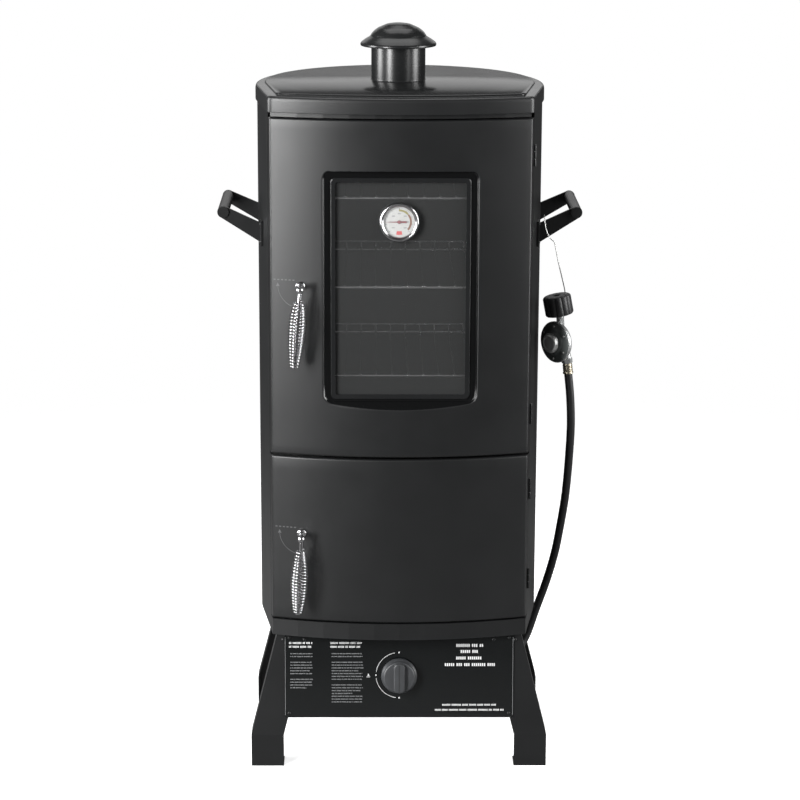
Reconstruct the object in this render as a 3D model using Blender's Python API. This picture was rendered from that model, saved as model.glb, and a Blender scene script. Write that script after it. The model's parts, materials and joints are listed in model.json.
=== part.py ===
"""A free-standing vertical cabinet smoker fired by LP gas, as an assembly of its separate pieces.

The cabinet is laid out with Y = 0 at its front corners, X to the right, Y to the back and Z up from
the floor.
The parent empty "smoker" moves the whole so that the origin is at the middle of the footprint.
"""
import math

import bmesh
import bpy
from mathutils import Matrix, Vector

# Driving dimensions, in metres
MIDDLE_Y = 0.1802  # from the front corners to the middle of the footprint
GAP = 0.0003  # between pieces that touch
SHEET = 0.0015  # sheet steel

HALF_FRONT = 0.2130  # half the cabinet's width at its front corners
BOW = 0.0320  # how far the doors bow out
BOW_STEPS = 10
ROUND_BACK = 0.2385  # radius of the rounded back
BACK_CENTRE = 0.1815  # centre of that arc
SEAM = 0.0205  # where the shell's sides start, behind the doors

FLOOR_Z = 0.2310
LID_LOW, LID_HIGH = 1.1145, 1.1405
LID_RISE = 0.0040  # the raised panel on the lid
SHELL_TOP = 1.1345
LID_PROUD = 0.0028  # how far the lid's rim stands out from the shell
CORNER = 0.0100  # its rounded front corners

LOWER_DOOR = (0.2610, 0.5440)
UPPER_DOOR = (0.5475, 1.1055)
DOOR_DEPTH = 0.0180
FRAME_SET = 0.0225  # the frame's face, behind the bow

HINGE = (0.2175, 0.0192)
KNUCKLE, HINGE_PIN = 0.0027, 0.0012
KNUCKLE_LONG = 0.0120

WINDOW_HALF = 0.1240  # the flat floor of the window's recess
WINDOW_Z = (0.6416, 1.0215)
WINDOW_SET = 0.0180  # that floor, in front of the front corners
GLASS_HALF, GLASS_Z = 0.1062, (0.6520, 1.0040)

DIAL_X, DIAL_Z, DIAL_R = -0.0026, 0.9398, 0.0325

LATCH_X = -0.1632
LATCH_Z = {"upper": 0.8326, "lower": 0.4130}
LATCH_OUT = 0.0350  # how far the rod stands in front of the door

HANDLE_Z, HANDLE_TIP_Z = 0.9000, 0.9350
HANDLE_TIP_X = 0.2935
HANDLE_Y = (0.1000, 0.2630)

RACK_Z = {"upper": 0.9730, "middle": 0.8245, "lower": 0.6745}
RACK_PITCH = 0.0260
WIRE, RACK_FRAME = 0.0015, 0.0025
RACK_SINK = 0.0011  # how deep the welded wires sit in the frame

LEG_TOP, LEG_KNEE = 0.2305, 0.0560
LEG_X_TOP, LEG_X_FOOT, LEG_WIDE = 0.2066, 0.2505, 0.0550
LEG_LEAN = 0.0195

PANEL_HALF = 0.1940
PANEL_TOP, PANEL_LOW = (0.0020, 0.2290), (-0.0140, 0.0867)
KNOB_ALONG = 0.0018  # the knob's height above the middle of the panel, along it

CHIMNEY_R, CHIMNEY_X, CHIMNEY_Y = 0.0453, -0.0025, 0.1925
CHIMNEY_TOP = 1.2080
CAP_TOP = 1.2389

HOSE_R = 0.0070
HOSE_ROUTE = [
    (0.0473, 0.0160, 0.1572), (0.0630, 0.0170, 0.1567), (0.0870, 0.0280, 0.1450),
    (0.1180, 0.0600, 0.1290), (0.1480, 0.1000, 0.1190), (0.1800, 0.1450, 0.1190),
    (0.2060, 0.1800, 0.1320), (0.2270, 0.1980, 0.1590), (0.2440, 0.2020, 0.2080),
    (0.2605, 0.1960, 0.2600), (0.2730, 0.1760, 0.3180), (0.2805, 0.1540, 0.3760),
    (0.2865, 0.1310, 0.4380), (0.2900, 0.1160, 0.5040), (0.2915, 0.1050, 0.5680),
    (0.2890, 0.1000, 0.6200), (0.2848, 0.1000, 0.6600),
]

# Worked out from them
FLARE = math.atan2(BACK_CENTRE, HALF_FRONT) - math.acos(ROUND_BACK / math.hypot(HALF_FRONT, BACK_CENTRE))
BOW_R = (HALF_FRONT ** 2 + BOW ** 2) / (2 * BOW)
PANEL_TILT = math.atan2(PANEL_TOP[0] - PANEL_LOW[0], PANEL_TOP[1] - PANEL_LOW[1])
PANEL_LONG = math.hypot(PANEL_TOP[0] - PANEL_LOW[0], PANEL_TOP[1] - PANEL_LOW[1])
LEG_FACE_TOP = 0.0040
HANDLE_RISE = HANDLE_TIP_Z - HANDLE_Z

pivots = {}  # each empty's place in the cabinet's own layout
materials = {}


# ---------------------------------------------------------------- scene, materials and placing
def clear_scene():
    for obj in list(bpy.data.objects):
        bpy.data.objects.remove(obj, do_unlink=True)


def finish(name, colour, roughness, metallic, alpha=1.0):
    mat = bpy.data.materials.new(name)
    mat.use_nodes = True
    shader = mat.node_tree.nodes["Principled BSDF"]
    shader.inputs["Base Color"].default_value = (*colour, 1.0)
    shader.inputs["Roughness"].default_value = roughness
    shader.inputs["Metallic"].default_value = metallic
    shader.inputs["Alpha"].default_value = alpha
    materials[name] = mat


def pivot(name, at, parent=None, tilt=0.0):
    """An empty at a point of the cabinet's layout, or of its tilted parent's."""
    empty = bpy.data.objects.new(name, None)
    bpy.context.collection.objects.link(empty)
    empty.parent = parent
    empty.location = Vector(at) - (pivots[parent] if parent else Vector())
    empty.rotation_euler.x = tilt
    pivots[empty] = Vector() if tilt or parent is None else Vector(at)
    return empty


def put(name, bm, parent, mat, sharp=35.0):
    """Turns a bmesh into an object, shaded smooth where its faces meet at less than `sharp` degrees."""
    bmesh.ops.recalc_face_normals(bm, faces=bm.faces)
    mesh = bpy.data.meshes.new(name)
    bm.to_mesh(mesh)
    bm.free()
    mesh.shade_smooth()
    mesh.set_sharp_from_angle(angle=math.radians(sharp))
    obj = bpy.data.objects.new(name, mesh)
    bpy.context.collection.objects.link(obj)
    obj.parent = parent
    obj.location = -pivots[parent]
    mesh.materials.append(materials[mat])
    return obj


def combine(obj, other, how):
    """Cuts, joins or crosses obj with a helper, which is then left out of the model."""
    other.hide_render = True
    other.display_type = "WIRE"
    step = obj.modifiers.new(f"{how} {other.name}", "BOOLEAN")
    step.operation = how
    step.object = other
    step.solver = "EXACT"
    return obj


def cut(obj, *others):
    for other in others:
        combine(obj, other, "DIFFERENCE")
    return obj


def join(obj, *others):
    for other in others:
        combine(obj, other, "UNION")
    return obj


def soften(obj, width, segments=2, angle=50.0):
    bevel = obj.modifiers.new("soft edges", "BEVEL")
    bevel.width = width
    bevel.segments = segments
    bevel.limit_method = "ANGLE"
    bevel.angle_limit = math.radians(angle)
    return obj


# ---------------------------------------------------------------- shapes
LIFT = {
    "X": lambda p, h: (h, p[0], p[1]),
    "Y": lambda p, h: (p[0], h, p[1]),
    "Z": lambda p, h: (p[0], p[1], h),
}


def prism(name, outline, low, high, parent, mat, axis="Z"):
    """An outline pushed along an axis. Its two numbers are the other two axes, in their own order."""
    bm = bmesh.new()
    rings = [[bm.verts.new(LIFT[axis](p, h)) for p in outline] for h in (low, high)]
    bm.faces.new(rings[0])
    bm.faces.new(rings[1])
    for i in range(len(outline)):
        j = (i + 1) % len(outline)
        bm.faces.new((rings[0][i], rings[0][j], rings[1][j], rings[1][i]))
    return put(name, bm, parent, mat)


def block(name, low, high, parent, mat):
    outline = [(low[0], low[1]), (high[0], low[1]), (high[0], high[1]), (low[0], high[1])]
    return prism(name, outline, low[2], high[2], parent, mat)


def loft(name, sections, parent, mat):
    """A closed body through outlines that have the same number of points."""
    bm = bmesh.new()
    rings = [[bm.verts.new(p) for p in section] for section in sections]
    bm.faces.new(rings[0])
    bm.faces.new(rings[-1])
    for low, high in zip(rings, rings[1:]):
        for i in range(len(low)):
            j = (i + 1) % len(low)
            bm.faces.new((low[i], low[j], high[j], high[i]))
    return put(name, bm, parent, mat)


def lathe(name, profile, at, parent, mat, toward=(0, 0, 1), segments=32, hollow=False):
    """Turns (radius, height) points about a direction. A hollow profile is a closed loop."""
    place = Matrix.Translation(at) @ Vector((0, 0,
                                             1)).rotation_difference(Vector(toward)).to_matrix().to_4x4()
    bm = bmesh.new()
    rings = []
    for radius, height in profile:
        steps = segments if radius > 0 else 1
        spots = [(math.cos(math.tau * i / segments), math.sin(math.tau * i / segments))
                 for i in range(steps)]
        rings.append([bm.verts.new(place @ Vector((radius * c, radius * s, height))) for c, s in spots])
    for a, b in zip(rings, rings[1:] + (rings[:1] if hollow else [])):
        for i in range(segments):
            corners = [a[i % len(a)], a[(i + 1) % len(a)], b[(i + 1) % len(b)], b[i % len(b)]]
            corners = list(dict.fromkeys(corners))
            if len(corners) > 2:
                bm.faces.new(corners)
    return put(name, bm, parent, mat)


def cylinder(name, radius, low, high, parent, mat, toward=(0, 0, 1), segments=24):
    """A round bar from the point `low`, `high` metres long."""
    return lathe(name, [(0, 0), (radius, 0), (radius, high), (0, high)], low, parent, mat, toward, segments)


def tube(bm, points, radius, sides, loop):
    points = [Vector(p) for p in points]
    across = (points[1] - points[0]).orthogonal().normalized()
    rings = []
    for i, point in enumerate(points):
        before = points[i - 1 if loop else max(i - 1, 0)]
        after = points[(i + 1) % len(points) if loop else min(i + 1, len(points) - 1)]
        along = (after - before).normalized()
        across = (across - along * across.dot(along)).normalized()
        up = along.cross(across)
        turns = [math.tau * k / sides for k in range(sides)]
        rings.append([bm.verts.new(point + radius * (math.cos(t) * across + math.sin(t) * up))
                      for t in turns])
    if not loop:
        bm.faces.new(rings[0])
        bm.faces.new(rings[-1])
    for a, b in zip(rings, rings[1:] + (rings[:1] if loop else [])):
        for k in range(sides):
            j = (k + 1) % sides
            bm.faces.new((a[k], a[j], b[j], b[k]))


def sweep(name, lines, radius, parent, mat, sides=8, loop=False):
    """Round bars along lines of points. A loop joins its last point to its first."""
    bm = bmesh.new()
    for points in lines:
        tube(bm, points, radius, sides, loop)
    return put(name, bm, parent, mat, sharp=50.0)


def smooth_line(route, spacing):
    """Points every `spacing` metres or so, on a smooth curve through the route's points."""
    route = [Vector(p) for p in route]
    ends = [2 * route[0] - route[1], *route, 2 * route[-1] - route[-2]]
    line = []
    for a, b, c, d in zip(ends, ends[1:], ends[2:], ends[3:]):
        steps = max(1, round((c - b).length / spacing))
        for k in range(steps):
            t = k / steps
            line.append(0.5 * (2 * b + (c - a) * t + (2 * a - 5 * b + 4 * c - d) * t ** 2
                               + (3 * b - a - 3 * c + d) * t ** 3))
    return line + [route[-1]]


def round_box(x0, x1, z0, z1, radius, steps=4):
    """A rectangle's outline with round corners."""
    corners = [(x1 - radius, z1 - radius, 0), (x0 + radius, z1 - radius, 90),
               (x0 + radius, z0 + radius, 180), (x1 - radius, z0 + radius, 270)]
    turns = [(x, z, math.radians(a + 90 * k / steps)) for x, z, a in corners for k in range(steps + 1)]
    return [(x + radius * math.cos(t), z + radius * math.sin(t)) for x, z, t in turns]


# ---------------------------------------------------------------- plan outlines
def bow(x):
    """How far behind the front corners the doors' face lies at x: it is negative, since they bow forward."""
    return BOW_R - BOW - math.sqrt(BOW_R ** 2 - x ** 2)


def bowed_line(half, inset):
    xs = [half * (2 * i / BOW_STEPS - 1) for i in range(BOW_STEPS + 1)]
    return [(x, bow(x) + inset) for x in xs]


def bowed_strip(half, inset, depth, flare=0.0):
    """The plan of a plate or tray that follows the bow. With a flare, its back is wider than its front."""
    wider = 1 + flare / half
    back = [(x * wider, y + depth) for x, y in reversed(bowed_line(half, inset))]
    return bowed_line(half, inset) + back


def side_x(y):
    """The shell's outer face at y, on the straight part of its side."""
    return HALF_FRONT + math.tan(FLARE) * y


def back_line(offset, y_start, steps=22):
    """The shell's side, back and other side, from right to left, moved out by offset."""
    normal = Vector((math.cos(FLARE), -math.sin(FLARE)))
    meet = Vector((0, BACK_CENTRE)) + (ROUND_BACK + offset) * normal
    start = meet + Vector((math.sin(FLARE), math.cos(FLARE))) * (y_start - meet.y) / math.cos(FLARE)
    turns = [-FLARE + (math.pi + 2 * FLARE) * i / steps for i in range(steps + 1)]
    arc = [((ROUND_BACK + offset) * math.cos(t), BACK_CENTRE + (ROUND_BACK + offset) * math.sin(t))
           for t in turns]
    return [tuple(start), *arc, (-start.x, start.y)]


def whole_plan(offset, front_inset):
    """The closed plan, with its front following the bow."""
    y_start = front_inset + bow(HALF_FRONT + offset)
    line = back_line(offset, y_start)
    half = line[0][0]
    return bowed_line(half, front_inset)[1:-1] + line


def bowed_tray(name, low, high, half, inset, depth, parent, mat, flare=0.0, soft=0.0):
    """A shallow bowed pan of sheet steel, open at the back."""
    outer = prism(name, bowed_strip(half, inset, depth + 2 * soft, flare), low, high, parent, mat)
    if soft:
        soften(outer, soft)
        cut(outer, prism(f"{name}_back", bowed_strip(half + 0.02, inset + depth, 0.05), low - 0.01,
                         high + 0.01, parent, mat))
    inner = prism(f"{name}_hollow", bowed_strip(half - SHEET, inset + SHEET, depth, flare),
                  low + SHEET, high - SHEET, parent, mat)
    return cut(outer, inner)


def bowed_ring(name, outline, hole, inset, depth, parent, mat):
    """A flat frame, given in X and Z, that follows the bow."""
    ring = prism(name, outline, -0.06, 0.06, parent, mat, axis="Y")
    opening = prism(f"{name}_opening", hole, -0.07, 0.07, parent, mat, axis="Y")
    slab = prism(f"{name}_slab", bowed_strip(HALF_FRONT + 0.01, inset, depth), 0.1, 1.3, parent, mat)
    return combine(cut(ring, opening), slab, "INTERSECT")


# ---------------------------------------------------------------- cabinet
def knuckle_heights(door):
    """The bottoms of the door's two hinges, each three knuckles high."""
    return door[0] + 0.045, door[1] - 0.045 - 3 * KNUCKLE_LONG


def knuckle(name, low, high, radius, parent):
    return cylinder(name, radius, (*HINGE, low), high - low, parent, "bright_zinc", segments=12)


def add_knuckles(obj, parent, doors, mine, theirs):
    """Joins bored hinge knuckles to a sheet and makes room for the other sheet's."""
    play = 0.0003
    for n, low in enumerate(z for door in doors for z in knuckle_heights(door)):
        for k in theirs:
            z = low + k * KNUCKLE_LONG
            cut(obj, knuckle(f"{obj.name}_room_{n}_{k}", z, z + KNUCKLE_LONG, KNUCKLE + play, parent))
        for k in mine:
            z = low + k * KNUCKLE_LONG
            bore, top = HINGE_PIN + 0.0002, KNUCKLE_LONG - play
            wall = [(bore, play), (KNUCKLE, play), (KNUCKLE, top), (bore, top)]
            join(obj, lathe(f"{obj.name}_knuckle_{n}_{k}", wall, (*HINGE, z), parent, "black_enamel",
                            segments=12, hollow=True))


def make_shell(root):
    shell = prism("cabinet_shell", whole_plan(0.0, SEAM), FLOOR_Z, SHELL_TOP, root, "black_enamel")
    room = back_line(-SHEET, -0.1)
    cut(shell, prism("shell_room", room, FLOOR_Z + SHEET, 1.3, root, "black_enamel"))
    cut(shell, cylinder("burner_hole", 0.0160, (0, 0.18, 0.2), 0.1, root, "black_enamel"))
    cut(shell, cylinder("drain_hole", 0.0080, (0, 0.30, 0.2), 0.1, root, "black_enamel"))
    for side in (-1, 1):
        bracket = [(0.1285, 0.2165), (0.1285, 0.2318), (0.1270, 0.2318), (0.1270, 0.2180), (0.1180, 0.2180),
                   (0.1180, 0.2165)]
        join(shell, prism(f"tray_bracket_{side}", [(side * x, z) for x, z in bracket], 0.195, 0.345, root,
                          "black_enamel", axis="Y"))
    add_knuckles(shell, root, (LOWER_DOOR, UPPER_DOOR), (0, 2), (1,))
    for place, door in (("lower", LOWER_DOOR), ("upper", UPPER_DOOR)):
        for end, low in zip(("bottom", "top"), knuckle_heights(door)):
            knuckle(f"{place}_{end}_hinge_pin", low + 0.0005, low + 3 * KNUCKLE_LONG - 0.0005, HINGE_PIN,
                    root)


def make_front_frame(root):
    enamel = "black_enamel"
    rail_high, header_low, top = LOWER_DOOR[0] - 0.0020, UPPER_DOOR[1] + 0.0020, SHELL_TOP
    frame = prism("front_frame", bowed_strip(0.2115, FRAME_SET, SHEET), rail_high - 0.0040, top, root,
                  enamel)
    rail = bowed_tray("frame_rail", FLOOR_Z, rail_high, HALF_FRONT, 0.0, 0.0198, root, enamel,
                      math.tan(FLARE) * 0.0198)
    shelf = prism("rail_shelf", bowed_strip(0.2100, 0.0100, 0.0140), rail_high - SHEET, rail_high, root,
                  enamel)
    header = bowed_tray("frame_header", header_low, top, 0.2095, 0.0040, 0.0150, root, enamel)
    header_shelf = prism("header_shelf", bowed_strip(0.2080, 0.0100, 0.0140), header_low, header_low + SHEET,
                         root, enamel)
    join(frame, rail, shelf, header, header_shelf)
    for name, door in (("lower", LOWER_DOOR), ("upper", UPPER_DOOR)):
        hole = round_box(-0.190, 0.190, door[0] + 0.0260, door[1] - 0.0260, 0.012)
        cut(frame, prism(f"{name}_mouth", hole, -0.0100 - 0.0010, 0.0600, root, enamel, axis="Y"))


def rounded_plan(offset, inset, z):
    """The closed plan at a height, with its two front corners rounded."""
    plan = [Vector(p) for p in whole_plan(offset, inset)]
    rounded = []
    for i, point in enumerate(plan):
        if i in (BOW_STEPS - 1, len(plan) - 1):
            before, after = ((p - point).normalized() * CORNER
                             for p in (plan[i - 1], plan[(i + 1) % len(plan)]))
            rounded += [point + (1 - t) ** 2 * before + t ** 2 * after for t in (0, 0.33, 0.67, 1)]
        else:
            rounded.append(point)
    return [(*p, z) for p in rounded]


def make_lid(root):
    enamel = "black_enamel"
    rim = [(LID_PROUD, LID_LOW), (LID_PROUD, LID_HIGH - 0.0050), (LID_PROUD - 0.0015, LID_HIGH - 0.0015),
           (LID_PROUD - 0.0050, LID_HIGH)]
    lid = loft("roof_lid", [rounded_plan(out, -out, z) for out, z in rim], root, enamel)
    rise = [(-0.0130, LID_HIGH - 0.0010), (-0.0140, LID_HIGH + LID_RISE - 0.0015),
            (-0.0165, LID_HIGH + LID_RISE)]
    join(lid, loft("lid_panel", [rounded_plan(out, -out, z) for out, z in rise], root, enamel))
    under = [(LID_PROUD - SHEET, LID_LOW - 0.0100), (LID_PROUD - SHEET, LID_HIGH - 0.0050),
             (LID_PROUD - SHEET - 0.0040, LID_HIGH - SHEET)]
    cut(lid, loft("lid_room", [rounded_plan(out, -out, z) for out, z in under], root, enamel))
    under = [(-0.0150, LID_HIGH - 0.0100), (-0.0165, LID_HIGH + LID_RISE - SHEET)]
    cut(lid, loft("panel_room", [rounded_plan(out, -out, z) for out, z in under], root, enamel))
    cut(lid, cylinder("flue_hole", CHIMNEY_R + GAP, (CHIMNEY_X, CHIMNEY_Y, 1.1), 0.1, root, enamel,
                      segments=36))


def make_chimney(root):
    at = (CHIMNEY_X, CHIMNEY_Y, 0)
    under = LID_HIGH + LID_RISE - SHEET - GAP
    inner = CHIMNEY_R - SHEET
    pipe = lathe("chimney_pipe", [(inner, under - 0.0150), (CHIMNEY_R, under - 0.0150),
                                  (CHIMNEY_R, under - SHEET), (CHIMNEY_R + 0.0110, under - SHEET),
                                  (CHIMNEY_R + 0.0110, under), (CHIMNEY_R, under), (CHIMNEY_R, CHIMNEY_TOP),
                                  (inner, CHIMNEY_TOP)], at, root, "black_enamel", segments=36, hollow=True)
    bar = block("flue_bar", (CHIMNEY_X - CHIMNEY_R + 0.0008, CHIMNEY_Y - 0.0070, 1.1500),
                (CHIMNEY_X + CHIMNEY_R - 0.0008, CHIMNEY_Y + 0.0070, 1.1530), root, "black_enamel")
    join(pipe, bar)
    cut(pipe, cylinder("stud_hole", 0.0044, (CHIMNEY_X, CHIMNEY_Y, 1.14), 0.03, root, "black_enamel",
                       segments=12))

    cap = pivot("cap_slide", (CHIMNEY_X, CHIMNEY_Y, CHIMNEY_TOP), root)
    outside = [(0.0630, 1.2012), (0.0637, 1.2040), (0.0625, 1.2066), (0.0560, 1.2115), (0.0500, 1.2150),
               (0.0468, 1.2172), (0.0455, 1.2196), (0.0415, 1.2250), (0.0347, 1.2303), (0.0194, 1.2370),
               (0, CAP_TOP)]
    inside = [(max(r - 0.0013, 0), z - 0.0013) for r, z in outside[1:]]
    inside[-1] = (0, CAP_TOP - 0.0014)
    lathe("chimney_cap", outside + inside[::-1] + [(0.0617, 1.2012)], at, cap, "black_enamel", segments=32,
          hollow=True)
    stud_top = CAP_TOP - 0.0014 - GAP
    lathe("cap_stud", [(0, 1.1350), (0.0040, 1.1350), (0.0040, 1.2270), (0.0080, 1.2270), (0.0080, 1.2315),
                       (0.0040, 1.2315), (0.0040, stud_top - 0.0010), (0, stud_top - 0.0010)],
          at, cap, "bright_zinc", segments=12)


# ---------------------------------------------------------------- doors
def make_door(place, door, root):
    """The skin, liner and gasket of one door, hung on the right."""
    enamel = "black_enamel"
    hinge = pivot(f"{place}_door_hinge", (*HINGE, door[0]), root)
    skin = bowed_tray(f"{place}_door_skin", *door, HALF_FRONT, 0.0, DOOR_DEPTH, hinge, enamel,
                      math.tan(FLARE) * DOOR_DEPTH, 0.0030)
    add_knuckles(skin, hinge, (door,), (1,), (0, 2))
    low, high = door[0] + SHEET + 0.0005, door[1] - SHEET - 0.0005
    liner = prism(f"{place}_door_liner", bowed_strip(0.2080, DOOR_DEPTH - 0.0025, SHEET), low, high, hinge,
                  "bright_steel")
    outer = round_box(-0.2015, 0.2015, door[0] + 0.0145, door[1] - 0.0145, 0.018)
    inner = round_box(-0.1935, 0.1935, door[0] + 0.0225, door[1] - 0.0225, 0.010)
    bowed_ring(f"{place}_door_gasket", outer, inner, DOOR_DEPTH - 0.0025 + SHEET + GAP, 0.0042, hinge,
               "gasket_rope")
    for obj in (skin, liner):
        cut(obj, cylinder(f"{obj.name}_shaft_hole", 0.0045, (LATCH_X, -0.1, LATCH_Z[place]), 0.2, hinge,
                          enamel, (0, 1, 0), 16))
    return hinge, skin, liner


def make_window(hinge, skin, liner):
    """The pressed recess in the upper door, with its glass held from behind."""
    enamel = "black_enamel"
    z0, z1 = WINDOW_Z
    floor_y = -WINDOW_SET
    back = prism("recess_back", round_box(-0.1285, 0.1285, z0 - 0.0165, z1 + 0.0045, 0.018),
                 -0.0500, floor_y + SHEET, hinge, enamel, axis="Y")
    within = prism("recess_limit", bowed_strip(0.15, 0.0004, 0.05), 0.6, 1.05, hinge, enamel)
    join(skin, combine(back, within, "INTERSECT"))
    sections = []
    for out in (0.0, 0.0250):
        steep = 0.12 * out
        outline = round_box(-WINDOW_HALF - out, WINDOW_HALF + out, z0 - out, z1 + steep, 0.012 + 0.3 * out)
        sections.append([(x, floor_y - out, z) for x, z in outline])
    cut(skin, loft("recess_cut", sections, hinge, enamel))
    hole = round_box(-GLASS_HALF - 0.0030, GLASS_HALF + 0.0030, GLASS_Z[0] - 0.0030, GLASS_Z[1] + 0.0030,
                     0.006)
    cut(skin, prism("sight_hole", hole, -0.05, 0.03, hinge, enamel, axis="Y"))
    liner_hole = round_box(-0.1330, 0.1330, z0 - 0.0190, z1 + 0.0080, 0.012)
    cut(liner, prism("liner_sight_hole", liner_hole, -0.05, 0.03, hinge, enamel, axis="Y"))

    bezel_hole = round_box(-GLASS_HALF, GLASS_HALF, *GLASS_Z, 0.004)
    bezel = prism("window_bezel", round_box(-GLASS_HALF - 0.0075, GLASS_HALF + 0.0075, GLASS_Z[0] - 0.0075,
                                            GLASS_Z[1] + 0.0075, 0.008), floor_y - 0.0028, floor_y - GAP,
                  hinge, "gloss_enamel", axis="Y")
    soften(bezel, 0.0010, 1)
    cut(bezel, prism("bezel_hole", bezel_hole, -0.05, 0.03, hinge, enamel, axis="Y"))

    glass_front = floor_y + SHEET + GAP
    glass_back = glass_front + 0.0040
    plate = round_box(-0.1190, 0.1190, z0 + 0.0030, z1 - 0.0050, 0.006)
    glass = prism("window_glass", plate, glass_front, glass_back, hinge, "clear_glass", axis="Y")
    cut(glass, cylinder("glass_hole", 0.0050, (DIAL_X, -0.05, DIAL_Z), 0.1, hinge, "clear_glass", (0, 1, 0),
                        16))
    outer = round_box(-0.1250, 0.1250, z0 - 0.0020, z1 - 0.0010, 0.010)
    keeper = prism("glass_retainer", outer, glass_back + GAP, glass_back + GAP + SHEET, hinge, enamel,
                   axis="Y")
    cut(keeper, prism("retainer_hole", hole, -0.05, 0.05, hinge, enamel, axis="Y"))
    return glass_front, glass_back


def make_thermometer(hinge, glass_front, glass_back):
    """A dial thermometer clamped through the glass. Heights run forward from the glass."""
    front = (0, -1, 0)
    seat = (DIAL_X, glass_front - GAP, DIAL_Z)
    rim, deep = DIAL_R, 0.0120
    lathe("thermometer_case", [(0, 0), (0.0120, 0), (0.0120, 0.0015), (rim - 0.0050, 0.0015),
                               (rim - 0.0010, 0.0030), (rim, 0.0060), (rim - 0.0004, deep - 0.0012),
                               (rim - 0.0016, deep), (rim - 0.0036, deep), (rim - 0.0044, deep - 0.0010),
                               (rim - 0.0044, deep - 0.0022), (rim - 0.0030, deep - 0.0022),
                               (rim - 0.0030, 0.0035), (0, 0.0035)], seat, hinge, "chrome", front, 28)
    stem = cylinder("thermometer_stem_rod", 0.0040, (DIAL_X, glass_front - 0.0010, DIAL_Z), 0.0560, hinge,
                    "chrome", (0, 1, 0), 12)
    join(bpy.data.objects["thermometer_case"], stem)
    lathe("thermometer_dial", [(0.0011, 0.0038), (rim - 0.0034, 0.0038), (rim - 0.0034, 0.0046),
                               (0.0011, 0.0046)], seat, hinge, "dial_white", front, 32, True)
    lathe("thermometer_lens", [(0, 0.0080), (rim - 0.0034, 0.0080), (rim - 0.0034, 0.0094), (0, 0.0094)],
          seat, hinge, "clear_glass", front, 32)
    spin = pivot("needle_pivot", (DIAL_X, glass_front, DIAL_Z), hinge)
    y0, y1 = glass_front - GAP - 0.0066, glass_front - GAP - 0.0060
    outline = [(-0.0235, 0.0), (-0.0040, 0.0008), (-0.0030, 0.0016), (0.0120, 0.0016), (0.0120, -0.0016),
               (-0.0030, -0.0016), (-0.0040, -0.0008)]
    needle = prism("thermometer_needle", [(DIAL_X + x, DIAL_Z + z) for x, z in outline], y0, y1, spin,
                   "needle_red", axis="Y")
    join(needle, cylinder("needle_staff", 0.0008, (DIAL_X, y0 + 0.0002, DIAL_Z), 0.0024, spin, "needle_red",
                          (0, 1, 0), 8))
    lathe("thermometer_nut", [(0.0048, 0), (0.0090, 0), (0.0090, 0.0045), (0.0048, 0.0045)],
                (DIAL_X, glass_back + GAP, DIAL_Z), hinge, "bright_zinc", (0, 1, 0), 6, True)


def make_latch(place, hinge):
    """The bent rod, its coiled wire grip and the cam behind the door. The handle hangs down when closed."""
    x, z = LATCH_X, LATCH_Z[place]
    face = bow(x)
    out = face - LATCH_OUT
    turn = pivot(f"{place}_latch_pivot", (x, face, z), hinge)
    bend = 0.0060
    corner = [(x, out + bend - bend * math.sin(a), z - bend + bend * math.cos(a))
              for a in [math.pi / 2 * k / 4 for k in range(5)]]
    lean = -0.0045
    foot = (x + lean, out, z - 0.1300)
    rod = sweep(f"{place}_latch_rod", [[(x, 0.0190, z), *corner, foot]], 0.0035, turn, "chrome", 10)
    join(rod, lathe(f"{place}_latch_ball", [(0, -0.0062), (0.0042, -0.0046), (0.0062, 0), (0.0042, 0.0046),
                                            (0, 0.0062)], (x, out, z), turn, "chrome", segments=12))
    join(rod, cylinder(f"{place}_latch_collar", 0.0075, (x, face - 0.0058, z), 0.0035, turn, "chrome",
                       (0, 1, 0), 16))

    turns, steps, wire = 15, 9, 0.0013
    top, long = z - 0.0190, 0.1080
    thickest = 0.40 if place == "upper" else 0.52
    coil = []
    for i in range(turns * steps + 1):
        s = i / (turns * steps)
        swell = math.sin(math.pi * s ** (math.log(0.5) / math.log(thickest))) ** 0.8
        radius = 0.0062 + 0.0068 * swell
        down = top - s * long
        a = math.tau * i / steps
        coil.append((x + lean * (z - down) / 0.13 + radius * math.cos(a), out + radius * math.sin(a), down))
    sweep(f"{place}_latch_grip", [coil], wire, turn, "chrome", 4)

    cam_y = bow(x - 0.0250) + DOOR_DEPTH
    outline = round_box(x - 0.0250, x + 0.0090, z - 0.0080, z + 0.0080, 0.004, 2)
    cam = prism(f"{place}_latch_cam", outline, cam_y, cam_y + 0.0040, turn, "bright_zinc", axis="Y")
    cut(cam, cylinder(f"{place}_cam_hole", 0.0038, (x, -0.05, z), 0.1, turn, "bright_zinc", (0, 1, 0), 12))


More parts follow.
